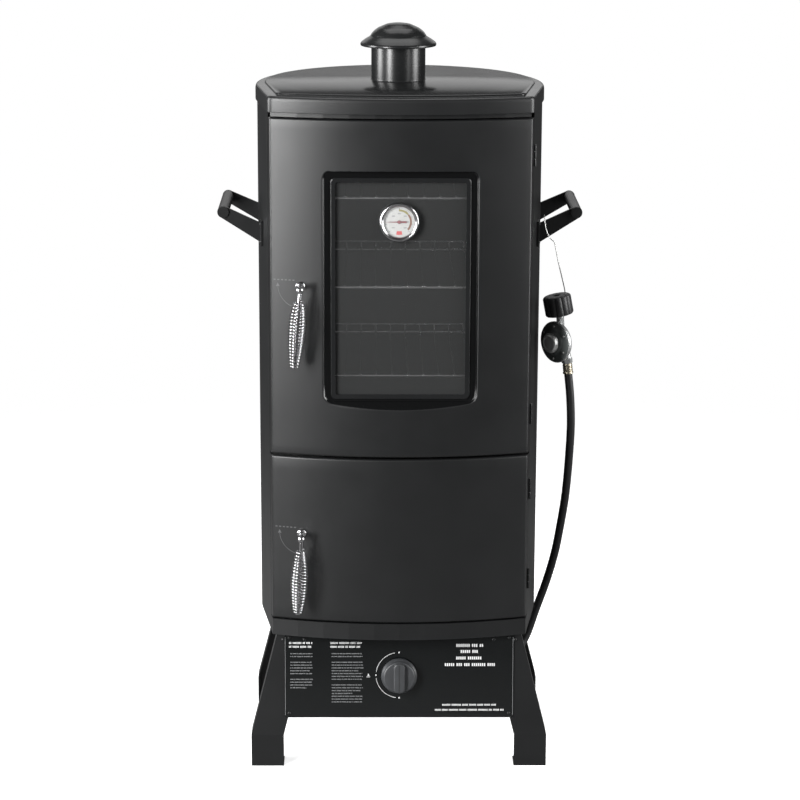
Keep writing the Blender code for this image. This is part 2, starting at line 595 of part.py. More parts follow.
# ---------------------------------------------------------------- outside fittings
def make_side_handle(place, side, root):
    """Two tapered arms on foot plates, with a round bar between their ends."""
    enamel = "black_enamel"
    bar = cylinder(f"{place}_side_handle", 0.0095, (side * HANDLE_TIP_X, HANDLE_Y[0] - 0.0050, HANDLE_TIP_Z),
                   HANDLE_Y[1] - HANDLE_Y[0] + 0.0100, root, enamel, (0, 1, 0), 20)
    for n, y in enumerate(HANDLE_Y):
        away = math.hypot(y - BACK_CENTRE, 0) / ROUND_BACK
        turned = FLARE if n == 0 else -math.asin(away)
        wall = side_x(y) if n == 0 else ROUND_BACK * math.cos(math.asin(away))
        slope = math.atan2(HANDLE_RISE, HANDLE_TIP_X - wall)
        tip = [(HANDLE_TIP_X + 0.0098 * math.sin(slope + a), HANDLE_TIP_Z - 0.0098 * math.cos(slope + a))
               for a in [math.pi * k / 8 for k in range(9)]]
        root_x = wall + 0.0020
        outline = [(root_x, HANDLE_Z + 0.0165), (root_x, HANDLE_Z - 0.0165), *tip]
        arm = prism(f"{place}_arm_{n}", [(side * x, z) for x, z in outline], y - 0.0020, y + 0.0020, root,
                    enamel, axis="Y")
        plate = block(f"{place}_foot_{n}", (GAP + 0.0003, -0.0110, -0.0210), (0.0036, 0.0110, 0.0210), root,
                      enamel)
        swing = Matrix.Rotation(-turned, 4, "Z")
        flip = Matrix.Scale(side, 4, (1, 0, 0))
        plate.data.transform(flip @ Matrix.Translation((wall, y, HANDLE_Z)) @ swing)
        if side < 0:
            plate.data.flip_normals()
        join(bar, arm, plate)


def make_leg(name, side, back, root):
    """A bent leg: a face and a return along its outer edge, leaning out to the knee, then upright."""
    thick = 0.0018
    sections = []
    for z, share in ((LEG_TOP - 0.0018, 0.0), (LEG_KNEE, 1.0), (0.0, 1.0)):
        x = LEG_X_TOP + (LEG_X_FOOT - LEG_X_TOP) * share
        y = LEG_FACE_TOP - LEG_LEAN * share
        outline = [(x, y), (x, y + 0.0400), (x - thick, y + 0.0400), (x - thick, y + thick),
                   (x - LEG_WIDE, y + thick), (x - LEG_WIDE, y)]
        if back:
            outline = [(px, 0.2940 - py) for px, py in outline]
        sections.append([(side * px, py, z) for px, py in outline])
    leg = loft(name, sections, root, "black_enamel")
    y0, y1 = (LEG_FACE_TOP, LEG_FACE_TOP + 0.0400) if not back else (0.2940 - LEG_FACE_TOP - 0.0400,
                                                                     0.2940 - LEG_FACE_TOP)
    x0, x1 = sorted((side * (LEG_X_TOP - LEG_WIDE), side * LEG_X_TOP))
    join(leg, block(f"{name}_flange", (x0, y0, LEG_TOP - 0.0036), (x1, y1, LEG_TOP - GAP), root,
                    "black_enamel"))
    y0, y1 = (y - LEG_LEAN if not back else y + LEG_LEAN for y in (y0, y1))
    x0, x1 = sorted((side * (LEG_X_FOOT - LEG_WIDE), side * LEG_X_FOOT))
    join(leg, block(f"{name}_foot", (x0, y0, 0.0), (x1, y1, thick), root, "black_enamel"))


# ---------------------------------------------------------------- inside the cabinet
def make_racks(root):
    """Wire racks with a straight front, cut-off back corners and a turned-up back edge."""
    y_front, y_back, lip = 0.0330, 0.3700, 0.0120
    half, half_back, y_turn = 0.2030, 0.1180, 0.2150
    for place, z in RACK_Z.items():
        slide = pivot(f"{place}_rack_slide", (0, y_front, z), root)
        corners = [(-half, y_front), (-half, y_turn), (-half_back, y_back), (half_back, y_back),
                   (half, y_turn), (half, y_front)]
        low = z - RACK_FRAME - WIRE + RACK_SINK
        rack = sweep(f"{place}_rack", [[(x, y, low) for x, y in corners]], RACK_FRAME, slide, "chrome_wire",
                     6, True)
        wires = []
        for k in range(16):
            x = RACK_PITCH * (k - 7.5)
            over = max(0.0, abs(x) - half_back) / (half - half_back)
            end = y_back - (y_back - y_turn) * over + 0.0017
            wires.append([(x, y_front - 0.0035, z), (x, end, z)])
            if not over:
                wires[-1].append((x, end + 0.0010, z + lip))
        join(rack, sweep(f"{place}_rack_wires", wires, WIRE, slide, "chrome_wire", 4))
        top = [(-half_back, y_back + 0.0029, z + lip - 0.0008), (half_back, y_back + 0.0029,
                                                                 z + lip - 0.0008)]
        join(rack, sweep(f"{place}_rack_lip", [top], 0.0018, slide, "chrome_wire", 6))


def make_rack_rails(root):
    """On each side, two uprights with a ledge for each rack, the water pan and the chip pan."""
    for place, side in (("left", -1), ("right", 1)):
        x_out, x_in = 0.2125, 0.1950
        rail = block(f"{place}_rack_rail", (side * x_out if side < 0 else x_out - 0.0020, 0.0450, 0.3000),
                     (side * x_out + 0.0020 if side < 0 else x_out, 0.0650, 1.0300), root, "bright_steel")
        join(rail, block(f"{place}_rail_upright", (side * x_out if side < 0 else x_out - 0.0020, 0.1800,
                                                   0.3000), (side * x_out + 0.0020 if side < 0 else x_out,
                                                             0.2000, 1.0300), root, "bright_steel"))
        ledges = [z - 2 * RACK_FRAME - WIRE + RACK_SINK - GAP for z in RACK_Z.values()]
        for n, z in enumerate(ledges):
            x0, x1 = sorted((side * x_in, side * (x_out - 0.0005)))
            join(rail, block(f"{place}_ledge_{n}", (x0, 0.0450, z - 0.0020), (x1, 0.2000, z), root,
                             "bright_steel"))
        for n, z in enumerate((PAN_Z["water"][1], PAN_Z["chips"][1])):
            x0, x1 = sorted((side * 0.1600, side * (x_out - 0.0005)))
            join(rail, block(f"{place}_pan_ledge_{n}", (x0, 0.0450, z - 0.0035 - GAP),
                             (x1, 0.2000, z - 0.0015 - GAP), root, "bright_steel"))


PAN_Z = {"water": (0.5560, 0.6160), "chips": (0.4100, 0.4620)}


def make_pan(name, kind, half, y0, y1, mat, root):
    """An open pan with a flat rim that hangs on the ledges."""
    slide = pivot(f"{name}_slide", (0, y0, PAN_Z[kind][1]), root)
    low, high = PAN_Z[kind]
    rim = prism(name, round_box(-0.1850, 0.1850, y0, y1, 0.02), high - 0.0015, high, slide, mat)
    base, mouth = (round_box(-half + d, half - d, y0 + 0.012 + d, y1 - 0.012 - d, 0.03)
                   for d in (0.012, 0.0))
    outer = [[(x, y, z) for x, y in outline] for outline, z in ((base, low), (mouth, high - 0.0002))]
    inner = [[(x * 0.988, (y - (y0 + y1) / 2) * 0.984 + (y0 + y1) / 2, z) for x, y in outline]
             for outline, z in ((base, low + SHEET), (mouth, high + 0.0050))]
    join(rim, loft(f"{name}_bowl", outer, slide, mat))
    cut(rim, loft(f"{name}_hollow", inner, slide, mat))


def make_burner(root):
    """A cast burner head on a bent venturi tube that comes up through the floor."""
    bend = [(0, 0.14 + 0.04 * math.sin(a), 0.1995 - 0.04 * math.cos(a))
            for a in [math.pi / 2 * k / 5 for k in range(6)]]
    line = [(0, 0.0520, 0.1595), *bend, (0, 0.18, 0.2900)]
    pipe = sweep("burner_tube", [line], 0.0120, root, "cast_iron", 16)
    cut(pipe, sweep("burner_tube_bore", [[(0, 0.0420, 0.1595), *bend, (0, 0.18, 0.3000)]], 0.0100, root,
                    "cast_iron", 16))
    head = lathe("burner_head", [(0, 0.2910), (0.0560, 0.2910), (0.0620, 0.2960), (0.0620, 0.3080),
                                 (0.0560, 0.3120), (0.0300, 0.3140), (0.0280, 0.3180), (0, 0.3190)],
                 (0, 0.18, 0), root, "cast_iron", segments=32)
    cut(head, lathe("burner_throat", [(0, 0.2800), (0.0110, 0.2800), (0.0110, 0.3070), (0, 0.3070)],
                    (0, 0.18, 0), root, "cast_iron", segments=16))
    lathe("igniter_electrode", [(0, 0), (0.0035, 0), (0.0035, 0.0400), (0.0012, 0.0440), (0.0012, 0.0680),
                                (0, 0.0680)], (0.0750, 0.1800, FLOOR_Z + SHEET + GAP), root, "white_ceramic",
          segments=10)


def make_grease_tray(root):
    """A shallow drawer on the lips under the floor. It pulls out to the back."""
    slide = pivot("grease_tray_slide", (0, 0.20, 0.22), root)
    half, y0, y1 = 0.1120, 0.2040, 0.3500
    tray = block("grease_tray", (-half, y0, 0.1980), (half, y1, 0.2195), slide, "bright_steel")
    join(tray, block("grease_rim", (-0.1255, y0 - 0.0010, 0.2184), (0.1255, y1 + 0.0080, 0.2200), slide,
                     "bright_steel"))
    cut(tray, block("grease_tray_hollow", (-half + 0.0015, y0 + 0.0015, 0.1995),
                    (half - 0.0015, y1 - 0.0015, 0.24), slide, "bright_steel"))


# ---------------------------------------------------------------- gas controls
def make_controls(root):
    """The tilted panel, the valve behind it and the push-and-turn knob. Y runs into the panel."""
    middle = ((PANEL_TOP[0] + PANEL_LOW[0]) / 2, (PANEL_TOP[1] + PANEL_LOW[1]) / 2)
    tilt = pivot("panel_tilt", (0, *middle), root, -PANEL_TILT)
    half = PANEL_LONG / 2
    panel = prism("control_panel", round_box(-PANEL_HALF, PANEL_HALF, -half, half, 0.002, 1), 0.0, 0.0012,
                  tilt, "gloss_enamel", axis="Y")
    cut(panel, cylinder("panel_hole", 0.0070, (0, -0.02, KNOB_ALONG), 0.04, tilt, "gloss_enamel", (0, 1, 0),
                        16))

    valve = block("gas_valve", (-0.0160, 0.0080, KNOB_ALONG - 0.0150), (0.0160, 0.0320, KNOB_ALONG + 0.0150),
                  tilt, "brass")
    soften(valve, 0.0020)
    neck = cylinder("valve_neck", 0.0100, (0, 0.0016, KNOB_ALONG), 0.0100, tilt, "brass", (0, 1, 0), 16)
    jet = cylinder("valve_jet", 0.0045, (0, 0.0300, KNOB_ALONG), 0.0200, tilt, "brass", (0, 1, 0), 12)
    inlet = lathe("valve_inlet", [(0, 0), (0.0070, 0), (0.0070, 0.0120), (0.0095, 0.0120), (0.0095, 0.0320),
                                  (0, 0.0320)], (0.0140, 0.0220, KNOB_ALONG), tilt, "brass", (1, 0, 0), 12)
    join(valve, neck, jet, inlet)
    bore = cylinder("stem_bore", 0.0044, (0, -0.01, KNOB_ALONG), 0.0240, tilt, "brass", (0, 1, 0), 12)
    cut(valve, bore)

    turn = pivot("valve_turn", (0, 0, KNOB_ALONG), tilt)
    lathe("valve_stem", [(0, 0), (0.0040, 0), (0.0040, 0.0290), (0, 0.0290)], (0, -0.0160, KNOB_ALONG), turn,
          "brass", (0, 1, 0), 12)
    push = pivot("knob_push", (0, -0.0040, KNOB_ALONG), turn)
    front = (0, -1, 0)
    knob = lathe("control_knob", [(0, 0.0045), (0.0340, 0.0045), (0.0345, 0.0060), (0.0335, 0.0085),
                                  (0.0300, 0.0100), (0.0285, 0.0190), (0.0270, 0.0205), (0, 0.0205)],
                 (0, 0, KNOB_ALONG), push, "knob_plastic", front, 32)
    grip = prism("knob_bar", round_box(-0.0078, 0.0078, KNOB_ALONG - 0.0275, KNOB_ALONG + 0.0275, 0.006),
                 -0.0290, -0.0180, push, "knob_plastic", axis="Y")
    soften(grip, 0.0020)
    join(knob, grip)
    cut(knob, cylinder("knob_bore", 0.0043, (0, 0.0, KNOB_ALONG), 0.0200, push, "knob_plastic", front, 12))


def make_hose(root):
    """The rubber hose from the valve, out under the cabinet and up to the regulator."""
    curve = bpy.data.curves.new("gas_hose", "CURVE")
    curve.dimensions = "3D"
    curve.bevel_depth = HOSE_R
    curve.bevel_resolution = 3
    curve.use_fill_caps = True
    line = smooth_line(HOSE_ROUTE, 0.019)
    spline = curve.splines.new("POLY")
    spline.points.add(len(line) - 1)
    for point, spot in zip(spline.points, line):
        point.co = (*spot, 1.0)
    hose = bpy.data.objects.new("gas_hose", curve)
    bpy.context.collection.objects.link(hose)
    hose.parent = root
    curve.materials.append(materials["black_rubber"])


def make_regulator(root):
    """The tank end: ferrule, regulator and handwheel, held by a wire on the right handle."""
    end = Vector(HOSE_ROUTE[-1])
    up = (end - Vector(HOSE_ROUTE[-2])).normalized()
    lathe("hose_ferrule", [(0, GAP), (0.0084, GAP), (0.0088, 0.0020), (0.0080, 0.0040), (0.0080, 0.0160),
                           (0.0070, 0.0180), (0, 0.0180)], end, root, "brass", up, 16)
    face = Vector((-math.sin(math.radians(50)), -math.cos(math.radians(50)), 0))
    centre = Vector((0.2655, 0.1010, 0.7145))
    body = lathe("regulator_body", [(0, -0.0150), (0.0150, -0.0150), (0.0220, -0.0100), (0.0310, -0.0040),
                                    (0.0335, -0.0010), (0.0335, 0.0030), (0, 0.0030)], centre, root,
                 "cast_zinc", face, 32)
    outlet = end + up * (0.0180 + GAP)
    neck_low = centre + Vector((0.0060, 0.0080, 0.0200))
    tilt = Vector((-0.19, 0, 0.98)).normalized()
    neck_top = Vector((0.2660, 0.1010, 0.7768)) - tilt * 0.0170
    join(body, sweep("regulator_outlet", [[outlet, outlet + up * 0.014, centre - face * 0.0060
                                           + Vector((0.006, 0.003, -0.012))]], 0.0072, root, "cast_zinc",
                     10))
    join(body, sweep("regulator_neck", [[neck_low, neck_top - tilt * 0.0012]], 0.0065, root, "cast_zinc",
                     12))
    join(body, sweep("regulator_nipple", [[neck_top - tilt * 0.004, neck_top + tilt * 0.0400]], 0.0060, root,
                     "cast_zinc", 12))
    lathe("regulator_cover", [(0, 0.0033), (0.0335, 0.0033), (0.0335, 0.0060), (0.0320, 0.0080),
                              (0.0200, 0.0100), (0.0180, 0.0130), (0.0130, 0.0150), (0.0125, 0.0190),
                              (0.0110, 0.0205), (0, 0.0205)], centre, root, "dark_cover", face, 32)
    spin = pivot("handwheel_spin", tuple(neck_top), root)
    grip = []
    lobes = 12
    for i in range(lobes * 4):
        r = 0.0225 if i % 4 < 2 else 0.0208
        grip.append((r * math.cos(math.tau * i / (lobes * 4)), r * math.sin(math.tau * i / (lobes * 4))))
    wheel = prism("tank_handwheel", grip, 0.0010, 0.0320, spin, "black_plastic")
    soften(wheel, 0.0012, 1, 70)
    to_neck = Matrix.Translation(neck_top) @ Vector((0, 0, 1)).rotation_difference(tilt).to_matrix().to_4x4()
    wheel.data.transform(to_neck)
    cut(wheel, sweep("handwheel_bore", [[neck_top - tilt * 0.01, neck_top + tilt * 0.05]], 0.0066, spin,
                     "black_plastic", 16))

    wire = bpy.data.curves.new("regulator_wire", "CURVE")
    wire.dimensions = "3D"
    wire.bevel_depth = 0.0009
    wire.bevel_resolution = 2
    wire.use_fill_caps = True
    hang = [(0.2420, 0.1042, 0.9130), (0.2406, 0.1043, 0.9270), (0.2402, 0.1010, 0.9305),
            (0.2400, 0.0962, 0.9270), (0.2420, 0.0958, 0.9100), (0.2490, 0.0958, 0.8930),
            (0.2570, 0.0962, 0.8860), (0.2650, 0.0975, 0.8500), (0.2740, 0.1110, 0.8150),
            (0.2786, 0.1210, 0.7950), (0.2795, 0.1240, 0.7720), (0.2785, 0.1190, 0.7590),
            (0.2742, 0.1087, 0.7560)]
    line = smooth_line(hang, 0.008)
    spline = wire.splines.new("POLY")
    spline.points.add(len(line) - 1)
    for point, spot in zip(spline.points, line):
        point.co = (*spot, 1.0)
    hanger = bpy.data.objects.new("regulator_wire", wire)
    bpy.context.collection.objects.link(hanger)
    hanger.parent = root
    wire.materials.append(materials["bright_zinc"])


# ---------------------------------------------------------------- the whole
def make_materials():
    finish("black_enamel", (0.030, 0.031, 0.032), 0.42, 0.0)
    finish("gloss_enamel", (0.012, 0.013, 0.014), 0.12, 0.0)
    finish("bright_steel", (0.32, 0.32, 0.33), 0.38, 1.0)
    finish("gasket_rope", (0.10, 0.10, 0.10), 0.90, 0.0)
    finish("clear_glass", (0.85, 0.90, 0.90), 0.05, 0.0, 0.25)
    finish("chrome", (0.62, 0.62, 0.64), 0.15, 1.0)
    finish("chrome_wire", (0.55, 0.55, 0.57), 0.22, 1.0)
    finish("bright_zinc", (0.55, 0.55, 0.55), 0.35, 1.0)
    finish("dial_white", (0.85, 0.85, 0.83), 0.40, 0.0)
    finish("needle_red", (0.22, 0.03, 0.05), 0.40, 0.0)
    finish("cast_iron", (0.09, 0.09, 0.09), 0.70, 0.6)
    finish("white_ceramic", (0.80, 0.80, 0.77), 0.35, 0.0)
    finish("brass", (0.50, 0.36, 0.16), 0.32, 1.0)
    finish("cast_zinc", (0.42, 0.43, 0.44), 0.45, 0.9)
    finish("dark_cover", (0.055, 0.057, 0.060), 0.45, 0.0)
    finish("black_plastic", (0.020, 0.020, 0.021), 0.50, 0.0)
    finish("knob_plastic", (0.045, 0.047, 0.050), 0.45, 0.0)
    finish("black_rubber", (0.018, 0.018, 0.019), 0.55, 0.0)


def main():
    clear_scene()
    make_materials()
    root = pivot("smoker", (0, -MIDDLE_Y, 0))
    make_shell(root)
    make_front_frame(root)
    make_lid(root)
    make_chimney(root)

    make_door("lower", LOWER_DOOR, root)
    hinge, skin, liner = make_door("upper", UPPER_DOOR, root)
    make_thermometer(hinge, *make_window(hinge, skin, liner))
    make_latch("upper", hinge)
    make_latch("lower", bpy.data.objects["lower_door_hinge"])

    for place, side in (("left", -1), ("right", 1)):
        make_side_handle(place, side, root)
        make_leg(f"front_{place}_leg", side, False, root)
        make_leg(f"rear_{place}_leg", side, True, root)

    make_racks(root)
    make_rack_rails(root)
    make_pan("water_pan", "water", 0.1550, 0.0420, 0.2700, "black_enamel", root)
    make_pan("chip_pan", "chips", 0.1300, 0.0420, 0.2300, "cast_iron", root)
    make_burner(root)
    make_grease_tray(root)
    make_controls(root)
    make_hose(root)
    make_regulator(root)


main()
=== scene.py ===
import json
import math
import random

import bmesh
import bpy
from mathutils import Matrix, Vector

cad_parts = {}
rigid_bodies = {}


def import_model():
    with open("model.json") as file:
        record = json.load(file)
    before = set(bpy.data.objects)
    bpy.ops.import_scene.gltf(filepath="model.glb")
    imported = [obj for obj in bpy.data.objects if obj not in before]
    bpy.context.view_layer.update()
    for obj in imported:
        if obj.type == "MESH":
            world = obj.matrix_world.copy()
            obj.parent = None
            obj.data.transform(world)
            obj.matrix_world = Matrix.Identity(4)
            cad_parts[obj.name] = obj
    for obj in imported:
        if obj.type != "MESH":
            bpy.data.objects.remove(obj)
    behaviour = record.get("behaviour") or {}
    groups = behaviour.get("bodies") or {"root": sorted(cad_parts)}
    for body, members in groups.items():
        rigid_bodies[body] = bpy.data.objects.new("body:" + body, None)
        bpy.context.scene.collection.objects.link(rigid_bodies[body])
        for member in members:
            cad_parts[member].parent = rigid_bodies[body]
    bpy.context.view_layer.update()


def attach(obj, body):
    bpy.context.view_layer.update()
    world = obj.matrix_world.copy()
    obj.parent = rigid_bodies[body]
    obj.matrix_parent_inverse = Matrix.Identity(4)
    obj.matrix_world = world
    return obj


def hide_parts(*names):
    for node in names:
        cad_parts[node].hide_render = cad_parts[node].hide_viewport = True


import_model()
print("frame loaded")

middleY = 0.1802  # from the cabinet's front corners to the middle of its footprint
dice = random.Random(7)
upward, forward = (0, 0, 1), (0, -1, 0)


def place(x, y, z):  # a point of the cabinet's own layout, where Y is 0 at its front corners
    return Vector((x, y - middleY, z))


# the cabinet's plan: straight front corners, a bowed face and a round back
plan = {"half": 0.2130, "bow": 0.0320, "backRadius": 0.2385, "backCentre": 0.1815}
bowRadius = (plan["half"] ** 2 + plan["bow"] ** 2) / (2 * plan["bow"])
flare = (math.atan2(plan["backCentre"], plan["half"])
         - math.acos(plan["backRadius"] / math.hypot(plan["half"], plan["backCentre"])))


def bowAt(x):  # how far behind the front corners the doors' face lies
    return bowRadius - plan["bow"] - math.sqrt(bowRadius ** 2 - x ** 2)


def onFace(x, z, out=0.0):  # a point in front of the doors' face
    return place(x, bowAt(x) - out, z)


# shader maths

class Socket:
    # wraps an output, so that a mask is written as a sum
    def __init__(self, tree, output):
        self.tree, self.output = tree, output

    def math(self, operation, other=None):
        values = {0: self} if other is None else {0: self, 1: other}
        return self.tree.node("ShaderNodeMath", {"operation": operation}, values)[0]

    def __add__(self, other): return self.math("ADD", other)
    def __radd__(self, other): return self.math("ADD", other)
    def __sub__(self, other): return self.math("SUBTRACT", other)
    def __mul__(self, other): return self.math("MULTIPLY", other)
    def __rmul__(self, other): return self.math("MULTIPLY", other)
    def __rsub__(self, other): return (self * -1.0) + other
    def __lt__(self, other): return self.math("LESS_THAN", other)
    def __gt__(self, other): return self.math("GREATER_THAN", other)


class Outputs:
    def __init__(self, tree, made):
        self.tree, self.made = tree, made

    def __getitem__(self, key):
        return Socket(self.tree, self.made.outputs[key])


finishes = {}


class Finish:
    # a material, with its Principled shader and a short way to add nodes
    def __init__(self, name):
        self.material = finishes[name] = bpy.data.materials.new(name)
        self.material.use_nodes = True
        self.nodes = self.material.node_tree.nodes
        self.links = self.material.node_tree.links
        self.shader = self.nodes["Principled BSDF"]

    def node(self, kind, settings=None, inputs=None):
        made = self.nodes.new(kind)
        for key, value in (settings or {}).items():
            if key == "stops":
                ramp = made.color_ramp
                while len(ramp.elements) < len(value):
                    ramp.elements.new(0.5)
                for element, (position, colour) in zip(ramp.elements, value):
                    element.position, element.color = position, (*colour, 1.0)
            else:
                setattr(made, key, value)
        for key, value in (inputs or {}).items():
            self.feed(made.inputs[key], value)
        return Outputs(self, made)

    def feed(self, socket, value):
        if isinstance(value, Socket):
            self.links.new(value.output, socket)
        else:
            socket.default_value = value

    def set(self, **values):
        for key, value in values.items():
            self.feed(self.shader.inputs[key.replace("_", " ")], value)
        return self

    def where(self):  # the point on the object, in metres
        return self.node("ShaderNodeTexCoord")["Object"]

    def height(self):
        return self.node("ShaderNodeSeparateXYZ", None, {0: self.where()})["Z"]

    def noise(self, scale, detail=2.0, roughness=0.5):
        inputs = {"Vector": self.where(), "Scale": scale, "Detail": detail, "Roughness": roughness}
        return self.node("ShaderNodeTexNoise", None, inputs)["Fac"]

    def mix(self, factor, first, second):  # of two colours
        first, second = ((*c, 1.0) if isinstance(c, tuple) else c for c in (first, second))
        return self.node("ShaderNodeMix", {"data_type": "RGBA"}, {"Factor": factor, 6: first, 7: second})[2]

    def bump(self, height, strength, distance):
        inputs = {"Strength": strength, "Distance": distance, "Height": height}
        return self.node("ShaderNodeBump", None, inputs)["Normal"]


cloud = {"scale": 14.0, "detail": 3.0, "dark": 0.86, "light": 1.14}  # the slow unevenness of sprayed enamel
peel = {"scale": 1700.0, "depth": 0.0002}  # its fine orange peel


def times(colour, factor):
    return tuple(c * factor for c in colour)


def cloudyColour(f, cloudy, colour):
    return f.mix(cloudy, times(colour, cloud["dark"]), times(colour, cloud["light"]))


def powderCoat(name, colour, rough, grain=0.06):
    f = Finish(name)
    cloudy, fine = f.noise(cloud["scale"], cloud["detail"]), f.noise(peel["scale"])
    f.set(Base_Color=cloudyColour(f, cloudy, colour), Roughness=cloudy * 0.10 + fine * 0.05 + (rough - 0.075),
          Normal=f.bump(fine, grain, peel["depth"]))


# how far behind the face, and between which edges, the recess is glossier and darkened by painted shade
pressed = {"behind": 0.0011, "half": 0.14, "low": 0.61, "high": 1.04, "shade": 0.45}


def doorEnamel(name, colour):
    # satin on the doors' face, and glossy in the pressed recess behind it, where the colour is darkened as
    # painted shade
    f = Finish(name)
    spot = f.node("ShaderNodeSeparateXYZ", None, {0: f.where()})
    x, y, z = spot["X"], spot["Y"], spot["Z"]
    front = (bowRadius - plan["bow"]) - (bowRadius ** 2 - x * x).math("SQRT")
    inside = ((y + middleY - front) > pressed["behind"]) * (x.math("ABSOLUTE") < pressed["half"])
    inside = inside * (z > pressed["low"]) * (z < pressed["high"])
    cloudy, fine = f.noise(cloud["scale"], cloud["detail"]), f.noise(peel["scale"])
    # the recess's darker base colour is painted shade
    f.set(Base_Color=f.mix(inside, cloudyColour(f, cloudy, colour), times(colour, pressed["shade"])),
          Roughness=cloudy * 0.08 + fine * 0.04 + inside * -0.17 + 0.30,
          Normal=f.bump(fine, 0.05, peel["depth"]))


def lidCoat(name, colour, topStarts=1.1395):
    # glossier on top than on the rim
    f = Finish(name)
    cloudy = f.noise(cloud["scale"], cloud["detail"])
    f.set(Base_Color=cloudyColour(f, cloudy, colour),
          Roughness=cloudy * 0.06 + (f.height() > topStarts) * -0.16 + 0.34,
          Normal=f.bump(f.noise(peel["scale"]), 0.04, peel["depth"]))


def bareMetal(name, colour, rough):
    f = Finish(name)
    fine, broad = f.noise(600.0, 3.0), f.noise(22.0, 3.0)
    f.set(Base_Color=f.mix(broad, times(colour, 0.90), colour), Metallic=1.0,
          Roughness=fine * 0.08 + broad * 0.06 + (rough - 0.05), Normal=f.bump(fine, 0.05, 0.0002))


def castMetal(name, colour, rough, metallic):
    f = Finish(name)
    sand = f.noise(900.0, 5.0, roughness=0.7)
    patches = f.noise(35.0, 4.0)
    f.set(Base_Color=f.mix(patches, times(colour, 0.72), colour), Metallic=metallic,
          Roughness=sand * 0.20 + (rough - 0.10), Normal=f.bump(sand, 0.30, 0.0004))


def moulded(name, colour, rough, grain=0.12, scale=1400.0):
    # plastic or rubber with a fine moulded texture
    f = Finish(name)
    grainy = f.noise(scale, 2.0)
    dull = f.noise(60.0, 3.0)
    f.set(Base_Color=f.mix(dull, times(colour, 0.80), times(colour, 1.15)),
          Roughness=dull * 0.12 + (rough - 0.06), Normal=f.bump(grainy, grain, 0.0002))


def printed(name, colour, rough=0.45):
    f = Finish(name)
    worn = f.noise(800.0, 2.0)
    f.set(Base_Color=f.mix(worn, times(colour, 0.82), colour), Roughness=worn * 0.1 + (rough - 0.05))


def clearGlass(name, tint, alpha):
    f = Finish(name)
    smudge = f.noise(9.0, 4.0)
    f.set(Base_Color=(*tint, 1.0), Roughness=smudge * 0.05 + 0.01, Alpha=alpha, IOR=1.52)


def galvanised(name, colour, rough):
    f = Finish(name)
    spangle = f.node("ShaderNodeTexVoronoi", None, {"Vector": f.where(), "Scale": 90.0})["Distance"]
    broad = f.noise(16.0, 3.0)
    f.set(Base_Color=f.mix(spangle, times(colour, 0.78), colour), Metallic=1.0,
          Roughness=spangle * 0.18 + broad * 0.08 + (rough - 0.10), Normal=f.bump(spangle, 0.08, 0.0003))


def ropeWeave(name, colour):
    f = Finish(name)
    weave = f.node("ShaderNodeTexWave", {"wave_type": "BANDS", "bands_direction": "DIAGONAL"},
                   {"Vector": f.where(), "Scale": 220.0, "Distortion": 2.0, "Detail": 2.0})["Fac"]
    f.set(Base_Color=f.mix(weave, times(colour, 0.5), colour), Roughness=0.92,
          Normal=f.bump(weave, 0.7, 0.0006))


def makeFinishes():
    powderCoat("blackEnamel", (0.0078, 0.0082, 0.0086), 0.36)
    doorEnamel("doorEnamel", (0.0085, 0.0089, 0.0093))
    powderCoat("pipeEnamel", (0.0100, 0.0104, 0.0108), 0.27, 0.04)
    lidCoat("lidEnamel", (0.0100, 0.0104, 0.0108))
    powderCoat("glossEnamel", (0.0060, 0.0068, 0.0070), 0.17, 0.02)
    powderCoat("recessEnamel", (0.0120, 0.0125, 0.0130), 0.20, 0.03)
    galvanised("brightSteel", (0.30, 0.31, 0.32), 0.44)
    ropeWeave("gasketRope", (0.10, 0.10, 0.095))
    clearGlass("windowGlass", (0.20, 0.205, 0.205), 0.09)
    clearGlass("dialGlass", (0.90, 0.92, 0.92), 0.07)
    bareMetal("rackWire", (0.82, 0.82, 0.83), 0.20)
    bareMetal("brightZinc", (0.52, 0.52, 0.51), 0.36)
    bareMetal("brass", (0.50, 0.36, 0.17), 0.34)
    bareMetal("ferruleMetal", (0.42, 0.38, 0.29), 0.32)
    bareMetal("caseChrome", (0.52, 0.52, 0.53), 0.22)
    bareMetal("bossZinc", (0.74, 0.75, 0.74), 0.36)
    bareMetal("springChrome", (0.50, 0.50, 0.51), 0.16)
    castMetal("castIron", (0.055, 0.053, 0.051), 0.72, 0.5)
    castMetal("castZinc", (0.56, 0.57, 0.57), 0.40, 0.80)
    moulded("darkCover", (0.082, 0.092, 0.090), 0.36)
    moulded("blackPlastic", (0.012, 0.012, 0.013), 0.46)
    moulded("knobPlastic", (0.045, 0.047, 0.050), 0.38, 0.08)
    moulded("blackRubber", (0.010, 0.010, 0.011), 0.44, 0.20, 900.0)
    printed("dialWhite", (0.60, 0.60, 0.585))
    printed("needleRed", (0.20, 0.015, 0.025))
    printed("printWhite", (0.80, 0.80, 0.80))
    printed("printGrey", (0.26, 0.265, 0.27))
    printed("printFaint", (0.085, 0.086, 0.088))
    printed("printRed", (0.62, 0.05, 0.05))
    printed("printOlive", (0.30, 0.26, 0.07))
    printed("printBrown", (0.22, 0.09, 0.04))
    printed("printBlack", (0.02, 0.02, 0.02))
    printed("ceramic", (0.74, 0.73, 0.69), 0.30)


makeFinishes()
print("finishes made")


# CAD pieces that keep their shapes get these finishes

